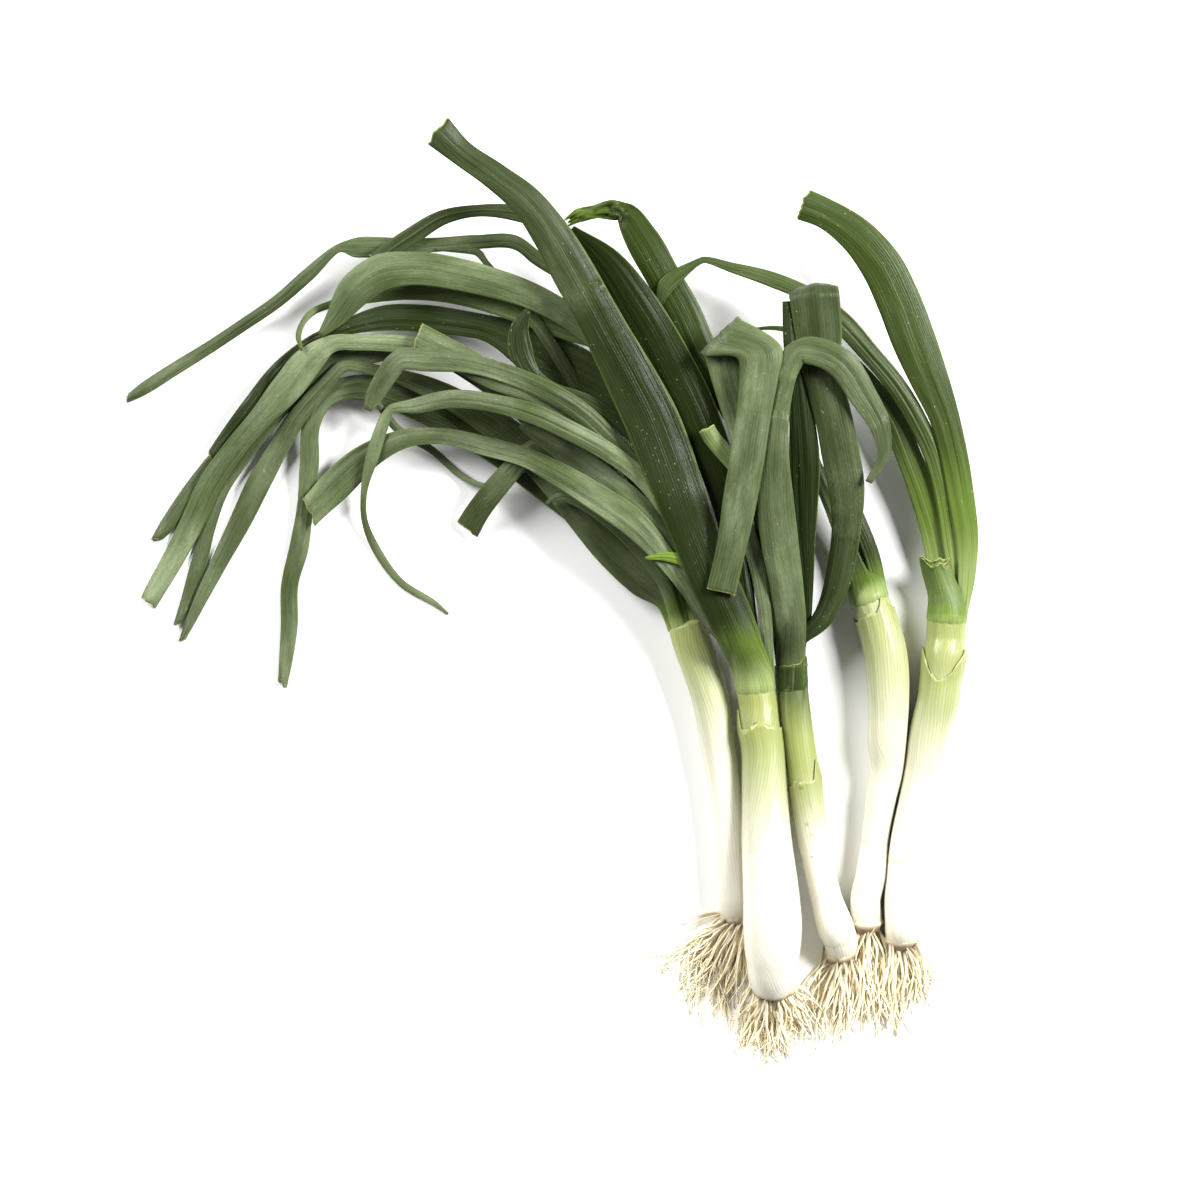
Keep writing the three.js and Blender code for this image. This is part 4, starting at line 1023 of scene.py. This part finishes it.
class OBJECT_OT_onion_shanks(bpy.types.Operator):
    """Builds the white shanks and the loose ends of their sheaths"""

    bl_idname = "object.onion_shanks"
    bl_label = "Shanks"

    def execute(self, context):
        material = shank_material(context.scene.onion_shank)
        for index, onion in enumerate(ONIONS):
            build_shank(onion, index, material)
        for number, spec in enumerate(SHEATHS):
            build_sheath(number, spec, material)
        return {"FINISHED"}


# ---- Roots ----
ROOT_SIDES = 6
ROOT_POINTS = 16
ROOT_GRAIN = 40  # how much of the texture a root runs through
ROOT_BROWN = 0.85  # how brown a root is where it leaves the plate
PLATE_OWN = 0.2  # the plate's own number
ROOT_LOW = 0.4 * MM  # the least height of a root's middle
ROOT_WAVE = 1.3 * MM  # how far it rises and falls on its way
TIP_HEIGHTS = (0.5, 0.5, 0.9, 1.6, 3.0)  # (mm) each as likely as the next
SCATTER = 2.8  # (mm) of the tips round their front
SWAY = 3.2  # (mm) of a root to one side
PLATE_LANES = 28
# The plate: [mm behind the shank, share of the shank's radius there].
PLATE = ((-1.5, 0.96), (0.0, 1.06), (1.6, 1.0), (3.2, 0.84), (4.6, 0.6), (5.4, 0.3))


class Tuft:
    """The points, faces and values of a growing mesh."""

    def __init__(self):
        self.points, self.faces = [], []
        self.place, self.fade, self.kind = [], [], []

    def add_point(self, middle, axes, angle, reach, place, brown, own):
        """A point at an angle and a distance from a middle, never below the floor."""
        side, over = axes
        at = middle + side * (math.cos(angle) * reach) + over * (math.sin(angle) * reach)
        at.z = max(at.z, 0.0)
        self.points.append(at)
        self.place.append((*place, 0.0))
        self.fade.append((brown, 0.0, 0.0))
        self.kind.append((0.0, own, 0.0))

    def add_tube(self, path, radius, tip, number, brown):
        """A thin tapering root along a path."""
        first, last = len(self.points), len(path) - 1
        for i, p in enumerate(path):
            ahead = (path[min(i + 1, last)] - path[max(i - 1, 0)]).normalized()
            side = ahead.cross(Vector(UP))
            side = side.normalized() if side.length > 1e-6 else Vector((1, 0, 0))
            over = side.cross(ahead)
            t = i / last
            size = radius + (tip - radius) * t
            size *= 1 + 0.15 * wander(t * 9, number, 1.0)
            own = (number * 0.618) % 1.0
            for k in range(ROOT_SIDES):
                angle = -2 * math.pi * k / ROOT_SIDES
                place = (t * ROOT_GRAIN + number * 13, k)
                self.add_point(p, (side, over), angle, size, place, brown * (1 - t) ** 9, own)
        self.faces += tube_faces(len(path), ROOT_SIDES, first)
        self.faces += end_faces(len(path) * ROOT_SIDES, ROOT_SIDES, first)

    def add_plate(self, end, index):
        """The rough brown plate at the foot of a shank."""
        middle, back, side, over, radius = end
        for row, (distance, size) in enumerate(PLATE):
            for k in range(PLATE_LANES):
                angle = -2 * math.pi * k / PLATE_LANES
                reach = radius * size * (1 + 0.14 * wander(k * 0.8, row * 0.8, index))
                at = middle + back * distance * MM
                brown = min(ROOT_BROWN, 0.1 + 0.4 * row + 0.3 * wander(k, row, 3))
                self.add_point(at, (side, over), angle, reach, (k * 3, row * 2), brown, PLATE_OWN)
        self.faces += tube_faces(len(PLATE), PLATE_LANES)
        self.faces += end_faces(len(PLATE) * PLATE_LANES, PLATE_LANES)


def root_path(start, goal, sway, lift, draw):
    """Points of a wandering root from the plate to where its tip lies."""
    run = goal - start
    aside = Vector((-run.y, run.x, 0)).normalized()
    phase = draw.uniform(0, 30)
    path = []
    for i in range(ROOT_POINTS):
        t = i / (ROOT_POINTS - 1)
        p = start + run * t
        bow = math.sin(math.pi * t) * sway
        curl = run.length * 0.13 * (wander(t * 1.9, phase, 0.5) + 0.1 * wander(t * 5, phase, 2.5))
        p += aside * (bow + curl * min(1.0, 3 * t))
        fall = (1 - t) ** 1.6
        p.z = goal.z + (start.z - goal.z) * fall + lift * math.sin(math.pi * t) * (1 - t)
        p.z += ROOT_WAVE * wander(t * 5, phase, 7.0) * math.sin(math.pi * t)
        p.z = max(p.z, ROOT_LOW)
        path.append(p)
    return path


def build_roots(onion, index, settings, material):
    """A tuft: the plate and the roots that leave it."""
    spec = TUFTS[onion]
    draw = random.Random(index * 31 + 5)
    shank = shank_line(onion)
    middle, radius = Vector(shank[0, :3]), shank[0, 3] * (1 + SHANKS[onion]["blunt"])
    back = (Vector(shank[0, :3]) - Vector(shank[2, :3])).normalized()
    side = back.cross(Vector(UP)).normalized()
    over = side.cross(back)
    tuft = Tuft()
    tuft.add_plate((middle, back, side, over, radius), index)
    left, right, behind = (Vector((*spec[key], 0)) * MM for key in ("left", "right", "behind"))
    through = behind * 2 - (left + right) / 2
    for number in range(spec["count"]):
        q = (number + draw.random()) / spec["count"]
        front = left * (1 - q) ** 2 + through * 2 * q * (1 - q) + right * q * q
        ring = draw.uniform(0, 2 * math.pi)
        away = radius * draw.uniform(0.15, 0.95)
        start = middle + back * (3.6 - 3.2 * away / radius) * MM + over * math.sin(ring) * away
        start += Vector((1, 0, 0)) * (q - 0.5) * 2 * away
        goal = Vector((middle.x, middle.y, 0)) + front * draw.triangular(0.35, 1.0, 0.85)
        goal += Vector((draw.gauss(0, SCATTER), draw.gauss(0, SCATTER), 0)) * MM
        goal.z = draw.choice(TIP_HEIGHTS) * MM
        sway = draw.gauss(0, SWAY) * MM
        path = root_path(start, goal, sway, draw.uniform(0, 3) * MM, draw)
        size = settings.radius * draw.uniform(0.6, 1.05)
        tuft.add_tube(path, size, size * 0.35, number, ROOT_BROWN)
        for _ in range(draw.choice((0, 0, 1, 2))):
            at = path[draw.randrange(5, ROOT_POINTS - 3)]
            twist = Vector((draw.uniform(-1, 1), draw.uniform(-1, 0.2), 0)).normalized()
            tip = at + twist * draw.uniform(4, 11) * MM
            tip.z = ROOT_LOW
            branch = root_path(at, tip, 0.0, 0.0, draw)[::3]
            tuft.add_tube(branch, size * 0.35, size * 0.2, number, 0.0)
    values = {"place": tuft.place, "fade": tuft.fade, "kind": tuft.kind}
    node = f"onion_{onion}_roots"
    piece = add_piece(node + "_tuft", tuft.points, tuft.faces, values, material)
    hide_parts(node)


class OBJECT_OT_onion_roots(bpy.types.Operator):
    """Builds the root plates and their roots"""

    bl_idname = "object.onion_roots"
    bl_label = "Roots"

    def execute(self, context):
        settings = context.scene.onion_root
        material = root_material(settings)
        for index, onion in enumerate(ONIONS):
            build_roots(onion, index, settings, material)
        return {"FINISHED"}


# ---- Stage ----
AIM = Vector((0.0217, -0.0018, 0.015))  # middle of the view
SENSOR = 36.0
FLOOR_REACH = 4.0
FLOOR_ROUGHNESS = 0.9
SKY = 0.15
LAMPS = (  # name, place, size, power
    ("key", (1.6, 0.7, 1.35), 0.7, 104.0),
    ("fill", (-1.6, 1.2, 1.4), 1.3, 88.0),
)


def add_area(name, place, size, power):
    light = bpy.data.lights.new(name, "AREA")
    light.size = size
    light.energy = power
    lamp = bpy.data.objects.new(name, light)
    lamp.location = place
    lamp.rotation_euler = (AIM - Vector(place)).to_track_quat("-Z", "Y").to_euler()
    bpy.context.scene.collection.objects.link(lamp)


class OBJECT_OT_onion_stage(bpy.types.Operator):
    """Adds the floor, the lights and the camera that looks straight down"""

    bl_idname = "object.onion_stage"
    bl_label = "Stage"

    def execute(self, context):
        settings = context.scene.onion_stage
        mesh = bpy.data.meshes.new("floor")
        corners = [(x, y, 0) for x, y in ((-1, -1), (1, -1), (1, 1), (-1, 1))]
        mesh.from_pydata([Vector(c) * FLOOR_REACH for c in corners], [], [(0, 1, 2, 3)])
        mesh.materials.append(Shader("floor", settings.floor).finish(FLOOR_ROUGHNESS))
        floor = bpy.data.objects.new("floor", mesh)
        context.scene.collection.objects.link(floor)

        world = bpy.data.worlds.new("soft_studio")
        world.use_nodes = True
        sky = world.node_tree.nodes["Background"]
        sky.inputs["Color"].default_value = (1, 1, 1, 1)
        sky.inputs["Strength"].default_value = SKY
        context.scene.world = world
        for lamp in LAMPS:
            add_area(*lamp)
        context.scene.view_settings.view_transform = "Standard"

        data = bpy.data.cameras.new("camera")
        data.lens = settings.lens
        data.sensor_width = SENSOR
        data.clip_end = 50
        camera = bpy.data.objects.new("camera", data)
        camera.location = AIM + Vector((0, 0, settings.width * settings.lens / SENSOR))
        context.scene.collection.objects.link(camera)
        context.scene.camera = camera
        return {"FINISHED"}


class VIEW3D_PT_onions(bpy.types.Panel):
    """Lists the steps that build the bunch, with their settings"""

    bl_idname = "VIEW3D_PT_onions"
    bl_label = "Spring onions"
    bl_space_type = "VIEW_3D"
    bl_region_type = "UI"
    bl_category = "Spring onions"

    def draw(self, context):
        for operator, name, _ in STEPS:
            box = self.layout.box()
            box.operator(operator.bl_idname)
            settings = getattr(context.scene, name)
            for label in settings.__annotations__:
                box.prop(settings, label)


# Each step: its operator, the name of its settings in the scene, and their class.
STEPS = (
    (OBJECT_OT_onion_stage, "onion_stage", StageSettings),
    (OBJECT_OT_onion_shanks, "onion_shank", ShankSettings),
    (OBJECT_OT_onion_leaves, "onion_leaf", LeafSettings),
    (OBJECT_OT_onion_roots, "onion_root", RootSettings),
)
CLASSES = [
    *(settings for _, _, settings in STEPS),
    *(operator for operator, _, _ in STEPS),
    VIEW3D_PT_onions,
]


def register():
    for cls in CLASSES:
        bpy.utils.register_class(cls)
    for _, name, settings in STEPS:
        setattr(bpy.types.Scene, name, bpy.props.PointerProperty(type=settings))


def unregister():
    for _, name, _ in STEPS:
        delattr(bpy.types.Scene, name)
    for cls in reversed(CLASSES):
        bpy.utils.unregister_class(cls)


def main():
    register()
    for operator, _, _ in STEPS:
        group, name = operator.bl_idname.split(".")
        if getattr(getattr(bpy.ops, group), name)() != {"FINISHED"}:
            raise RuntimeError(f"{operator.bl_idname} did not finish")


if __name__ == "__main__":
    main()
